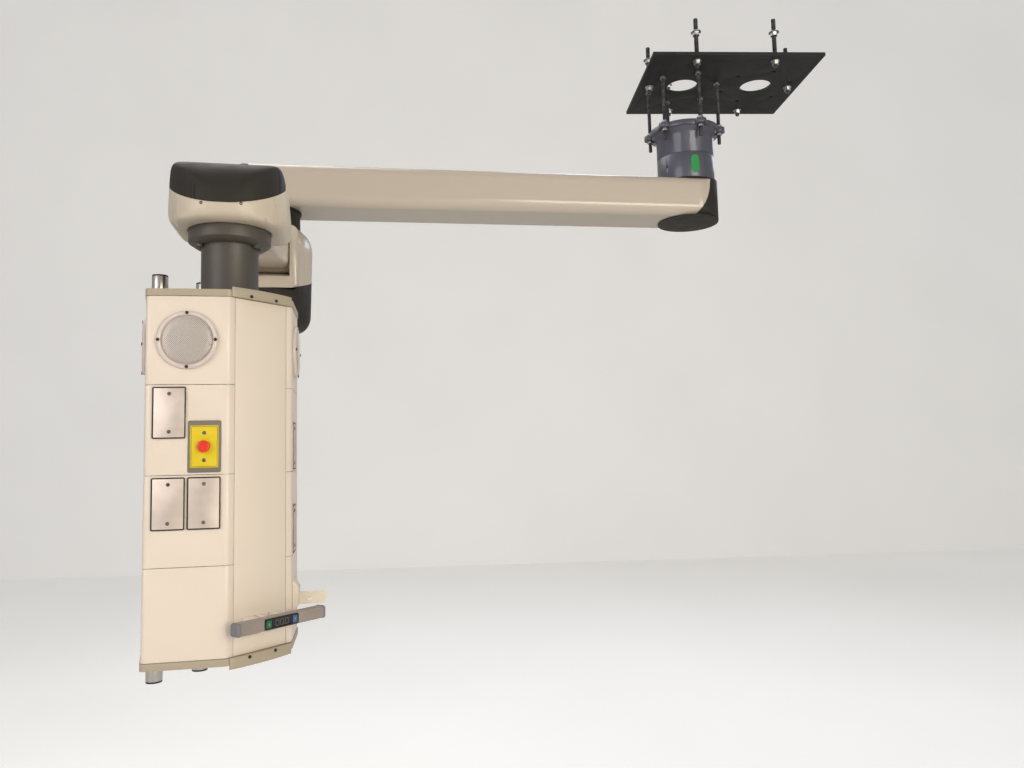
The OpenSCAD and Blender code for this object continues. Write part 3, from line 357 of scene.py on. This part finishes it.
# The width of each piece's softened edges, in metres; a piece that isn't listed gets the usual width
edgeOf = {
    "usual": 0.0006,
    "ceiling_plate": 0.0008,
    "hub_casting": 0.002,
    "hub_cover": 0.0012,
    "arm_hub_cap": 0.0015,
    "arm_elbow_cap": 0.0015,
    "elbow_collar": 0.002,
    "elbow_housing": 0.0015,
    "elbow_cover": 0.0015,
    "swivel_collar": 0.0015,
    "handle_bar": 0.0004,
    "side_base": 0.0012,
    "posts": 0.001,
    "top_trim": 0.0008,
    "bottom_trim": 0.0008,
}

# Long shells whose flat sides run into wide curves get no bevel, and their normals are weighted
rolledShells = {"arm_beam", "lift_shell"}

# A node's mesh is merged within this distance, and its flats are made whole below this angle
nodeMesh = {"merge": 0.00002, "flat": math.radians(0.4)}


def weighNormals(piece):
    only(piece)
    weigh = piece.modifiers.new("evenShade", "WEIGHTED_NORMAL")
    weigh.keep_sharp = True
    bpy.ops.object.modifier_apply(modifier=weigh.name)


def plainCopy(node, name):
    source = frame["nodes"][node]
    piece = source.copy()
    piece.data = source.data.copy()
    piece.name = name
    piece.parent = None
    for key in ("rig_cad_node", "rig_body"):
        del piece[key]
    bpy.context.scene.collection.objects.link(piece)
    return piece


# The front head is moulded in one sweep, so its outer skin is drawn onto a rounded blank
mouldedHead = {
    "nodes": ("head_housing", "head_cap"),
    "cell": 0.006, "voxel": 0.004, "passes": 90, "ease": 0.5,
    "skin": 0.0004, "wall": 0.0025,
}


def makeBlank():
    hull = joined([plainCopy(node, "headHull") for node in mouldedHead["nodes"]], "headHull")
    editAll(hull)
    bpy.ops.mesh.convex_hull()
    endEdit()
    blank = hull.copy()
    blank.data = hull.data.copy()
    blank.name = "headBlank"
    bpy.context.scene.collection.objects.link(blank)
    only(blank)
    grid = blank.modifiers.new("evenGrid", "REMESH")
    grid.mode = "VOXEL"
    grid.voxel_size = mouldedHead["voxel"]
    bpy.ops.object.modifier_apply(modifier=grid.name)
    soft = blank.modifiers.new("soften", "SMOOTH")
    soft.factor = mouldedHead["ease"]
    soft.iterations = mouldedHead["passes"]
    bpy.ops.object.modifier_apply(modifier=soft.name)
    return hull, blank


def cutIntoCells(piece):
    editAll(piece)
    for axis in range(3):
        ends = [corner[axis] for corner in piece.bound_box]
        across = Vector([float(number == axis) for number in range(3)])
        for step in range(1, math.ceil((max(ends) - min(ends)) / mouldedHead["cell"])):
            bpy.ops.mesh.select_all(action="SELECT")
            bpy.ops.mesh.bisect(plane_co=across * (min(ends) + step * mouldedHead["cell"]), plane_no=across)
    endEdit()


def drawSkin(piece, hull, blank):
    # Corners on the hull go to the blank; what would then stand too near its skin goes one wall inside
    cutIntoCells(piece)
    for corner in piece.data.vertices:
        onHull = hull.closest_point_on_mesh(corner.co)[1]
        found, onBlank, normal, face = blank.closest_point_on_mesh(corner.co)
        if (corner.co - onHull).length < mouldedHead["skin"]:
            corner.co = onBlank
        elif (corner.co - onBlank).dot(normal) > -mouldedHead["wall"]:
            corner.co = onBlank - normal * mouldedHead["wall"]


headHull, headBlank = makeBlank()
print("stage: head blank made,", len(headBlank.data.polygons), "faces")


def dressNode(node, slot):
    # A merged copy of the node with softened edges stands for the node
    piece = plainCopy(node, "dressed_" + node)
    editAll(piece)
    bpy.ops.mesh.remove_doubles(threshold=nodeMesh["merge"])
    bpy.ops.mesh.dissolve_limited(angle_limit=nodeMesh["flat"])
    endEdit()
    if node in mouldedHead["nodes"]:
        only(piece)
        bpy.ops.object.transform_apply(location=True, rotation=True, scale=True)
        drawSkin(piece, headHull, headBlank)
    elif node not in rolledShells:
        applyBevel(piece, edgeOf.get(node, edgeOf["usual"]))
    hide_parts(node)
    settle(piece, nodeBody[node], slot)
    if node in rolledShells:
        weighNormals(piece)
    return piece


modelledBelow = {"building_rods", "hub_studs", "speaker_grilles"}
for part in frame["record"]["subparts"]:
    if part["node"] not in modelledBelow:
        dressNode(part["node"], part["material_slot"])
for model in (headHull, headBlank):
    discard(model)
print("stage: pieces dressed")


# The service head's axis, turn, levels and faces; a face is its middle in plan and its turn in degrees
serviceHead = {
    "axis": Vector((-1.597795, -1.108226, 0)),
    "turn": math.radians(52.5),
    "stackTop": -1.09633,
    "bodyTop": -1.08033,
    "bodyBottom": -1.90433,
    "faces": {
        "front": ((0, -0.119), 0),
        "left": ((-0.150018, -0.057482), -45),
        "right": ((0.150018, -0.057482), 45),
        "rearRight": ((0.142647, 0.114283), 122),
        "rearLeft": ((-0.142647, 0.114283), -122),
    },
}


def facePlace(face, x, z, out=0.0):
    # x along the face, z up; the piece's own Z points away from the face
    (middleX, middleY), angle = serviceHead["faces"][face]
    turned = Matrix.Rotation(serviceHead["turn"], 4, "Z") @ Matrix.Translation((middleX, middleY, 0))
    onFace = Matrix.Rotation(math.radians(angle), 4, "Z") @ Matrix.Translation((x, -out, z))
    upright = Matrix.Rotation(math.radians(90), 4, "X")
    return Matrix.Translation(serviceHead["axis"]) @ turned @ onFace @ upright


def seenPlace(node, x, y, out=0.0):
    # Where the photo camera's ray through a pixel meets a dressed node; the piece's Z is the surface's normal
    camera = bpy.context.scene.camera
    wide, high = photoCamera["pixels"]
    focal = wide * photoCamera["lens"] / photoCamera["sensor"]
    ray = Vector(((x - wide / 2) / focal, (high / 2 - y) / focal, -1))
    ray = camera.matrix_world.to_3x3() @ ray.normalized()
    bpy.context.view_layer.update()
    target = bpy.data.objects["dressed_" + node]
    hit, place, normal, face = target.ray_cast(camera.location, ray)
    if not hit:
        raise ValueError("nothing of %s at pixel %d, %d" % (node, x, y))
    return Matrix.Translation(place + normal * out) @ normal.to_track_quat("Z", "Y").to_matrix().to_4x4()


def pickFaces(piece, wanted):
    only(piece)
    bpy.ops.object.mode_set(mode="EDIT")
    bpy.ops.mesh.select_mode(type="FACE")
    bpy.ops.mesh.select_all(action="DESELECT")
    bpy.ops.object.mode_set(mode="OBJECT")
    for face in piece.data.polygons:
        face.select = wanted(face)
    bpy.ops.object.mode_set(mode="EDIT")


def pushFaces(way):
    bpy.ops.mesh.extrude_region_move(TRANSFORM_OT_translate={"value": way})


def spread(model, name, places, body, slot, smooth=32, finish=None):
    # The model is copied to each place, and the copies become one piece
    copies = []
    for place in places:
        copy = model.copy()
        copy.data = model.data.copy()
        bpy.context.scene.collection.objects.link(copy)
        copy.matrix_world = place
        copies.append(copy)
    return settle(joined(copies, name), body, slot, smooth, finish)


hubAxis = -0.149  # where the hub hangs, along x from the ceiling plate's middle

# Threaded rods: one turn of thread is modelled, repeated, and closed at both ends
threads = {"pitch": 0.002, "deep": 0.0011, "sides": 22, "merge": 0.0001, "weld": 0.00005}
buildingRods = {
    "wide": 0.016, "low": -0.038, "high": 0.15,
    "places": ((-0.149, -0.216), (0.149, -0.216), (-0.149, 0.216), (0.149, 0.216), (-0.282, 0), (0.282, 0)),
}
hubStuds = {
    "wide": 0.014, "low": -0.266, "high": 0.022,
    "axis": hubAxis, "circle": 0.134, "count": 6, "start": -18,
}


def makeThread(name, wide, low, high):
    pitch, deep = threads["pitch"], threads["deep"]
    root = wide / 2 - deep
    bpy.ops.object.select_all(action="DESELECT")
    bpy.ops.mesh.primitive_circle_add(vertices=threads["sides"], radius=root, location=(0, 0, low))
    piece = bpy.context.object
    only(piece)
    bpy.ops.object.transform_apply(location=True)
    editAll(piece)
    for level, size in ((low + pitch / 2, wide / 2 / root), (low + pitch, root / (wide / 2))):
        bpy.ops.mesh.extrude_region_move(TRANSFORM_OT_translate={"value": (0, 0, pitch / 2)})
        bpy.ops.transform.resize(value=(size, size, 1), center_override=(0, 0, level))
    endEdit()
    stack = piece.modifiers.new("turns", "ARRAY")
    stack.count = round((high - low) / pitch)
    stack.use_relative_offset = False
    stack.use_constant_offset = True
    stack.constant_offset_displace = (0, 0, pitch)
    stack.use_merge_vertices = True
    stack.merge_threshold = threads["merge"]
    bpy.ops.object.modifier_apply(modifier=stack.name)
    editAll(piece)
    bpy.ops.mesh.remove_doubles(threshold=threads["weld"])
    bpy.ops.mesh.fill_holes(sides=0)
    bpy.ops.mesh.normals_make_consistent(inside=False)
    endEdit()
    piece.name = name
    return piece


rodModel = makeThread("rodModel", buildingRods["wide"], buildingRods["low"], buildingRods["high"])
rods = spread(rodModel, "buildingRods", [Matrix.Translation((x, y, 0)) for x, y in buildingRods["places"]],
              nodeBody["building_rods"], "rod_steel", 20)
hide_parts("building_rods")
discard(rodModel)

studModel = makeThread("studModel", hubStuds["wide"], hubStuds["low"], hubStuds["high"])
studPlaces = []
for number in range(hubStuds["count"]):
    angle = math.radians(hubStuds["start"] + number * 360 / hubStuds["count"])
    x = hubStuds["axis"] + hubStuds["circle"] * math.cos(angle)
    studPlaces.append(Matrix.Translation((x, hubStuds["circle"] * math.sin(angle), 0)))
studs = spread(studModel, "hubStuds", studPlaces, nodeBody["hub_studs"], "rod_steel", 20)
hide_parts("hub_studs")
discard(studModel)
print("stage: threads made")


# Screws: a crowned head with a slot, and a flat head with a round socket
plateScrews = {
    "sides": 28, "wide": 0.0082, "high": 0.0012, "slot": 0.0012,
    "crown": ((0.1, 0.4), (0.12, 0.16)),  # each step's inset in widths and rise in heights
    "apart": 0.0417, "out": 0.0026, "callApart": 0.03, "callOut": 0.0034,
}
socketScrews = {
    "sides": 24, "wide": 0.0072, "high": 0.0022, "sunk": 0.0014,
    "bevel": 0.08, "rise": 0.18, "land": 0.18, "socket": 0.6,
    "headPixels": ((201, 202.5), (241, 203.5)), "hubPixel": (667, 166),
}

# Faces and levels that the screws sit on; drops are measured down from the top of the module stack
loudspeaker = {
    "faces": ("left", "right", "rearLeft", "rearRight"),
    "drop": 0.099, "ring": 0.06, "out": 0.0078,
}
bracket = {"x": (-0.038, 0.031), "inside": 0.011, "out": 0.0142, "bow": 0.008, "half": 0.0834}
leftPlates = ((-0.036, 0.2595), (-0.036, 0.4575), (0.038, 0.4575))
rightPlates = ((-0.042, 0.3345), (-0.042, 0.5325))
callPlate = {"x": 0.038, "drop": 0.3345}


def makeSlottedHead(size):
    wide, high, slot = size["wide"], size["high"], size["slot"]
    bpy.ops.object.select_all(action="DESELECT")
    bpy.ops.mesh.primitive_cylinder_add(vertices=size["sides"], radius=wide / 2, depth=high,
                                        location=(0, 0, high / 2))
    piece = bpy.context.object
    bpy.ops.object.transform_apply(location=True)
    for inset, rise in size["crown"]:
        pickFaces(piece, lambda face: face.normal.z > 0.9 and face.center.z > high * 0.9)
        bpy.ops.mesh.inset(thickness=wide * inset)
        bpy.ops.transform.translate(value=(0, 0, high * rise))
        endEdit()
    nearTop = max(corner.co.z for corner in piece.data.vertices) - 0.00001  # a hair under the crown
    for side in (-1, 1):
        pickFaces(piece, lambda face: face.normal.z > 0.9 and face.center.z > nearTop)
        bpy.ops.mesh.bisect(plane_co=(0, side * slot / 2, 0), plane_no=(0, 1, 0))
        endEdit()
    pickFaces(piece, lambda face: face.center.z > nearTop and abs(face.center.y) < slot / 4)
    pushFaces((0, 0, -high))
    endEdit()
    return piece


def makeSocketHead(size):
    wide, high = size["wide"], size["high"]
    bpy.ops.object.select_all(action="DESELECT")
    bpy.ops.mesh.primitive_cylinder_add(vertices=size["sides"], radius=wide / 2, depth=high,
                                        location=(0, 0, high / 2))
    piece = bpy.context.object
    bpy.ops.object.transform_apply(location=True)
    pickFaces(piece, lambda face: face.normal.z > 0.9)
    bpy.ops.mesh.inset(thickness=wide * size["bevel"])
    bpy.ops.transform.translate(value=(0, 0, high * size["rise"]))
    bpy.ops.mesh.inset(thickness=wide * size["land"])
    pushFaces((0, 0, -high * size["socket"]))
    endEdit()
    return piece


slotted = makeSlottedHead(plateScrews)
socket = makeSocketHead(socketScrews)
stackTop = serviceHead["stackTop"]
plateSpots = [("left", x, stackTop - drop) for x, drop in leftPlates]
plateSpots += [("right", x, stackTop - drop) for x, drop in rightPlates]
screwSpots = [facePlace(face, x, z + side * plateScrews["apart"], plateScrews["out"])
              for face, x, z in plateSpots for side in (-1, 1)]
spread(slotted, "plateScrews", screwSpots, nodeBody["wall_plates"], "rod_steel")
callZ = stackTop - callPlate["drop"]
callSpots = [facePlace("left", callPlate["x"], z, plateScrews["callOut"])
             for z in (callZ - plateScrews["callApart"], callZ + plateScrews["callApart"])]
spread(slotted, "callScrews", callSpots, nodeBody["call_plate"], "rod_steel")
discard(slotted)

speakerZ, ring = stackTop - loudspeaker["drop"], loudspeaker["ring"]
bezelSpots = [facePlace(face, x * ring, speakerZ + z * ring, loudspeaker["out"])
              for face in loudspeaker["faces"] for x, z in ((0, 1), (1, 0), (0, -1), (-1, 0))]
spread(socket, "bezelScrews", bezelSpots, nodeBody["speaker_bezels"], "speaker_black")
bracketZ = (serviceHead["bodyTop"] - bracket["inside"], serviceHead["bodyBottom"] + bracket["inside"])
bracketSpots = [facePlace("front", x, z, bracket["out"] - bracket["bow"] * (x / bracket["half"]) ** 2)
                for x in bracket["x"] for z in bracketZ]
spread(socket, "bracketScrews", bracketSpots, nodeBody["trim_brackets"], "speaker_black")
headSpots = [seenPlace("head_housing", x, y, -socketScrews["sunk"]) for x, y in socketScrews["headPixels"]]
spread(socket, "headScrews", headSpots, nodeBody["head_housing"], "speaker_black")
hubSpot = seenPlace("hub_cover", *socketScrews["hubPixel"], -socketScrews["sunk"])
spread(socket, "hubScrews", [hubSpot], nodeBody["hub_cover"], "speaker_black")
discard(socket)
print("stage: screws made")


# Perforated loudspeaker grilles: a sheet of small holes, domed, in a plain rim
grille = {
    "wide": 0.108, "pitch": 0.003, "web": 0.0008, "sheet": 0.0008,
    "rim": 0.0035, "rimLift": 0.0002, "rimGap": 0.0002, "rimSides": 72, "underRim": 0.6, "spareCells": 4,
    "crown": 0.0076, "shoulder": 0.0064, "edge": 0.004, "shoulderAt": 0.042, "edgeAt": 0.054,
}


def domeHeight(reach):
    # The grille's profile: a flat crown to the shoulder, then a straight slope to the edge
    g = grille
    if reach < g["shoulderAt"]:
        return g["crown"] - (g["crown"] - g["shoulder"]) * (reach / g["shoulderAt"]) ** 2
    along = (reach - g["shoulderAt"]) / (g["edgeAt"] - g["shoulderAt"])
    return g["shoulder"] - (g["shoulder"] - g["edge"]) * along


def makeGrille():
    pitch, wide = grille["pitch"], grille["wide"]
    count = int(wide / pitch) + grille["spareCells"]
    bpy.ops.object.select_all(action="DESELECT")
    bpy.ops.mesh.primitive_grid_add(x_subdivisions=count, y_subdivisions=count, size=count * pitch,
                                    rotation=(0, 0, math.radians(45)))
    sheet = bpy.context.object
    bpy.ops.object.transform_apply(rotation=True)
    reach = wide / 2 - grille["rim"] * grille["underRim"]
    pickFaces(sheet, lambda face: face.center.xy.length > reach)
    bpy.ops.mesh.delete(type="FACE")
    bpy.ops.mesh.select_all(action="SELECT")
    bpy.ops.mesh.inset(thickness=grille["web"], use_individual=True)
    bpy.ops.mesh.delete(type="FACE")
    endEdit()
    bpy.ops.mesh.primitive_circle_add(vertices=grille["rimSides"], radius=wide / 2 - grille["rim"])
    rim = bpy.context.object
    editAll(rim)
    bpy.ops.mesh.extrude_region_move(TRANSFORM_OT_translate={"value": (0, 0, 0)})
    size = (wide / 2 - grille["rimGap"]) / (wide / 2 - grille["rim"])
    bpy.ops.transform.resize(value=(size, size, 1), center_override=(0, 0, 0))
    bpy.ops.mesh.select_all(action="SELECT")
    bpy.ops.mesh.normals_make_consistent(inside=False)
    endEdit()
    for piece, lift in ((sheet, 0), (rim, grille["rimLift"])):
        for corner in piece.data.vertices:
            corner.co.z = domeHeight(corner.co.xy.length) + lift
        only(piece)
        wall = piece.modifiers.new("sheet", "SOLIDIFY")
        wall.thickness = grille["sheet"]
        wall.offset = -1
        bpy.ops.object.modifier_apply(modifier=wall.name)
    return joined([sheet, rim], "grilleModel")


grilleModel = makeGrille()
grillePlaces = [facePlace(face, 0, speakerZ) for face in loudspeaker["faces"]]
grilles = spread(grilleModel, "perforatedGrilles", grillePlaces, nodeBody["speaker_grilles"],
                 "grille_silver", 40)
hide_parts("speaker_grilles")
discard(grilleModel)
print("stage: grilles made,", len(grilles.data.polygons), "faces")


# Thin marks: a near-black rim of painted shade round each wall plate, a line round the call insert, soft keys
# and arrows
plateEdgeShade = {
    "wide": 0.0698, "high": 0.1138, "line": 0.003, "thick": 0.0008,
    "corner": 0.0035, "segments": 3, "out": 0.0024,
}
callLine = {
    "wide": 0.055, "high": 0.088, "line": 0.0007, "thick": 0.00025,
    "corner": 0.002, "segments": 4, "out": 0.0038,
}
softKeys = {
    "wide": 0.009, "high": 0.012, "line": 0.0005, "thick": 0.0002,
    "corner": 0.0016, "segments": 4, "out": 0.0586, "apart": 0.013,
}
keyArrows = {"size": 0.0026, "thick": 0.0005, "inset": 0.28, "stem": 0.55, "apart": 0.036, "out": 0.0596}
handle = {
    "z": serviceHead["bodyBottom"] + 0.082, "middle": 0.02, "long": 0.246, "thick": 0.028,
    "barMiddle": 0.044, "displayX": 0.013,
}


def roundedPlane(wide, high, corner, segments):
    # A flat plate with rounded corners, left in edit mode
    bpy.ops.object.select_all(action="DESELECT")
    bpy.ops.mesh.primitive_plane_add(size=1)
    piece = bpy.context.object
    piece.scale = (wide, high, 1)
    bpy.ops.object.transform_apply(scale=True)
    editAll(piece)
    bpy.ops.mesh.bevel(offset=corner, segments=segments, affect="VERTICES")
    return piece


def thicken(thick):
    bpy.ops.mesh.select_all(action="SELECT")
    pushFaces((0, 0, thick))
    bpy.ops.mesh.select_all(action="SELECT")
    bpy.ops.mesh.normals_make_consistent(inside=False)
    endEdit()


def makeOutline(size):
    piece = roundedPlane(size["wide"], size["high"], size["corner"], size["segments"])
    bpy.ops.mesh.inset(thickness=size["line"])
    bpy.ops.mesh.delete(type="FACE")
    thicken(size["thick"])
    return piece


def makeArrow(arrow, points):
    # A flat arrow head on a three-sided disc, whose stem is pushed out of the side behind the tip
    size = arrow["size"]
    bpy.ops.object.select_all(action="DESELECT")
    bpy.ops.mesh.primitive_cylinder_add(vertices=3, radius=size, depth=arrow["thick"],
                                        rotation=(0, 0, 0 if points > 0 else math.pi))
    piece = bpy.context.object
    bpy.ops.object.transform_apply(rotation=True)
    pickFaces(piece, lambda face: face.normal.y * points < -0.9)
    bpy.ops.mesh.inset(thickness=size * arrow["inset"])
    pushFaces((0, -points * size * arrow["stem"], 0))
    endEdit()
    return piece


# Each wall plate gets a thin near-black rim of painted shade, for the shadow round its edge
rim = makeOutline(plateEdgeShade)
spread(rim, "plateEdgeShades", [facePlace(face, x, z, plateEdgeShade["out"]) for face, x, z in plateSpots],
       nodeBody["wall_plates"], "rod_steel", finish="plate_edge_shade")
discard(rim)

border = makeOutline(callLine)
spread(border, "callOutline", [facePlace("left", callPlate["x"], callZ, callLine["out"])],
       nodeBody["call_insert"], "display_black")
discard(border)
softKey = makeOutline(softKeys)
softPlaces = [facePlace("front", handle["displayX"] + x, handle["z"], softKeys["out"])
              for x in (-softKeys["apart"], 0, softKeys["apart"])]
spread(softKey, "displayOutlines", softPlaces, nodeBody["handle_display"], "handle_grey")
discard(softKey)
for key, side in (("up_key", -1), ("down_key", 1)):
    arrow = makeArrow(keyArrows, -side)
    keyX = handle["displayX"] + side * keyArrows["apart"]
    place = facePlace("front", keyX, handle["z"], keyArrows["out"])
    spread(arrow, key + "Arrow", [place], nodeBody[key], "handle_grey")
    discard(arrow)


# A plain green pill, stuck on the hub cover's drum where the photo shows it
hubPill = {
    "wide": 0.031, "high": 0.07, "thick": 0.0004, "turn": -86, "axis": hubAxis,
    "corner": 0.49, "segments": 8, "strips": 8,
}


def makePill(size, drum):
    # A flat pill cut into strips, which are then bent round the drum
    wide, strips = size["wide"], size["strips"]
    piece = roundedPlane(wide, size["high"], wide * size["corner"], size["segments"])
    for step in range(1 - strips // 2, strips // 2):
        bpy.ops.mesh.select_all(action="SELECT")
        bpy.ops.mesh.bisect(plane_co=(step * wide / strips, 0, 0), plane_no=(1, 0, 0))
    thicken(size["thick"])
    for corner in piece.data.vertices:
        angle = corner.co.x / drum
        reach = drum + corner.co.z
        corner.co = Vector((reach * math.sin(angle), corner.co.y, reach * math.cos(angle) - drum))
    return piece


coverLow, coverHigh = (Vector(corner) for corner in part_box("hub_cover"))
drum = (coverHigh.x - coverLow.x) / 2
pill = makePill(hubPill, drum)
onDrum = Matrix.Rotation(math.radians(hubPill["turn"] + 90), 4, "Z") @ Matrix.Translation((0, -drum, 0))
pillMiddle = Matrix.Translation((hubPill["axis"], 0, (coverLow.z + coverHigh.z) / 2))
pillPlace = pillMiddle @ onDrum @ Matrix.Rotation(math.radians(90), 4, "X")
spread(pill, "hubPill", [pillPlace], nodeBody["hub_cover"], "key_green", finish="hub_pill")
discard(pill)


# Soft moulded caps over both ends of the handle bar
endCaps = {"long": 0.013, "proud": 0.0012, "round": 0.006, "segments": 5, "inside": 0.0062}


def makeEndCap(thick):
    bpy.ops.object.select_all(action="DESELECT")
    bpy.ops.mesh.primitive_cube_add(size=1)
    piece = bpy.context.object
    piece.scale = (endCaps["long"], thick + endCaps["proud"], thick + endCaps["proud"])
    bpy.ops.object.transform_apply(scale=True)
    applyBevel(piece, endCaps["round"], endCaps["segments"])
    return piece


endCap = makeEndCap(handle["thick"])
endReach = handle["long"] / 2 - endCaps["inside"]
endPlaces = [facePlace("front", handle["middle"] + side * endReach, handle["z"], handle["barMiddle"])
             for side in (-1, 1)]
spread(endCap, "handleEnds", endPlaces, nodeBody["handle_bar"], "handle_grey", finish="handle_end")
discard(endCap)
print("stage: marks made")


# Studio: a pale floor and back wall, which also glow a little where the camera sees them, and soft lights
studio = {
    "floor": -2.75, "wall": 6.5, "reach": 30, "rough": 0.7,
    "deep": (0.78, 0.77, 0.75), "pale": (0.82, 0.81, 0.79),
    "glow": 0.3, "glowTint": (1, 0.99, 0.97, 1),
    "sky": 0.42, "skyGlow": 0.3, "skyTint": (1, 0.985, 0.965, 1),
}


def makeStudio():
    material, tree, shader = newMaterial("paleFloor")
    vector = objectPlace(tree)
    tone = ramp(tree, noiseAt(tree, vector, scale=0.8, detail=4), 0, 1)
    feed(tree, shader, "Base Color", mixColour(tree, tone, studio["deep"], studio["pale"]))
    shader.inputs["Roughness"].default_value = studio["rough"]
    shader.inputs["Emission Color"].default_value = studio["glowTint"]
    seen = addNode(tree, "ShaderNodeLightPath")
    glow = addNode(tree, "ShaderNodeMath", operation="MULTIPLY")
    glow.inputs[1].default_value = studio["glow"]
    tree.links.new(seen.outputs["Is Camera Ray"], glow.inputs[0])
    tree.links.new(glow.outputs[0], shader.inputs["Emission Strength"])
    for name, place, turn in (("floor", (0, 0, studio["floor"]), (0, 0, 0)),
                              ("wall", (0, studio["wall"], studio["floor"]), (math.radians(90), 0, 0))):
        bpy.ops.mesh.primitive_plane_add(size=studio["reach"] * 2, location=place, rotation=turn)
        sheet = bpy.context.object
        sheet.name = name
        sheet.data.materials.append(material)


softLights = [
    {"place": (-4.2, -4.4, -0.2), "aim": (-1.6, -1.1, -1.5),
     "size": 2.6, "power": 66, "tint": (1, 0.945, 0.96)},
    {"place": (1.4, -4.6, -0.9), "aim": (-1.5, -1.1, -1.6),
     "size": 2.2, "power": 106, "tint": (1, 0.915, 0.76)},
    {"place": (0.8, 1.9, 1.6), "aim": (-0.6, -0.2, -0.5),
     "size": 2.6, "power": 60, "tint": (0.7, 0.78, 1)},
    {"place": (-2.6, 0.6, 1.8), "aim": (-1.4, -0.5, -0.8),
     "size": 2.4, "power": 45, "tint": (1, 0.97, 0.93)},
]


def makeLights():
    for number, light in enumerate(softLights):
        data = bpy.data.lights.new("softbox%d" % number, "AREA")
        data.size = light["size"]
        data.energy = light["power"]
        data.color = light["tint"]
        lamp = bpy.data.objects.new("softbox%d" % number, data)
        bpy.context.scene.collection.objects.link(lamp)
        lamp.location = light["place"]
        toward = Vector(light["aim"]) - Vector(light["place"])
        lamp.rotation_euler = toward.to_track_quat("-Z", "Y").to_euler()
    world = bpy.context.scene.world or bpy.data.worlds.new("studio")
    bpy.context.scene.world = world
    world.use_nodes = True
    sky = world.node_tree.nodes["Background"]
    sky.inputs["Color"].default_value = studio["skyTint"]
    seen = addNode(world.node_tree, "ShaderNodeLightPath")
    glow = addNode(world.node_tree, "ShaderNodeMath", operation="MULTIPLY_ADD")
    glow.inputs[1].default_value = studio["skyGlow"]
    glow.inputs[2].default_value = studio["sky"]
    world.node_tree.links.new(seen.outputs["Is Camera Ray"], glow.inputs[0])
    world.node_tree.links.new(glow.outputs[0], sky.inputs["Strength"])
    bpy.context.scene.view_settings.view_transform = "Standard"


makeStudio()
makeLights()
print("stage: studio ready")
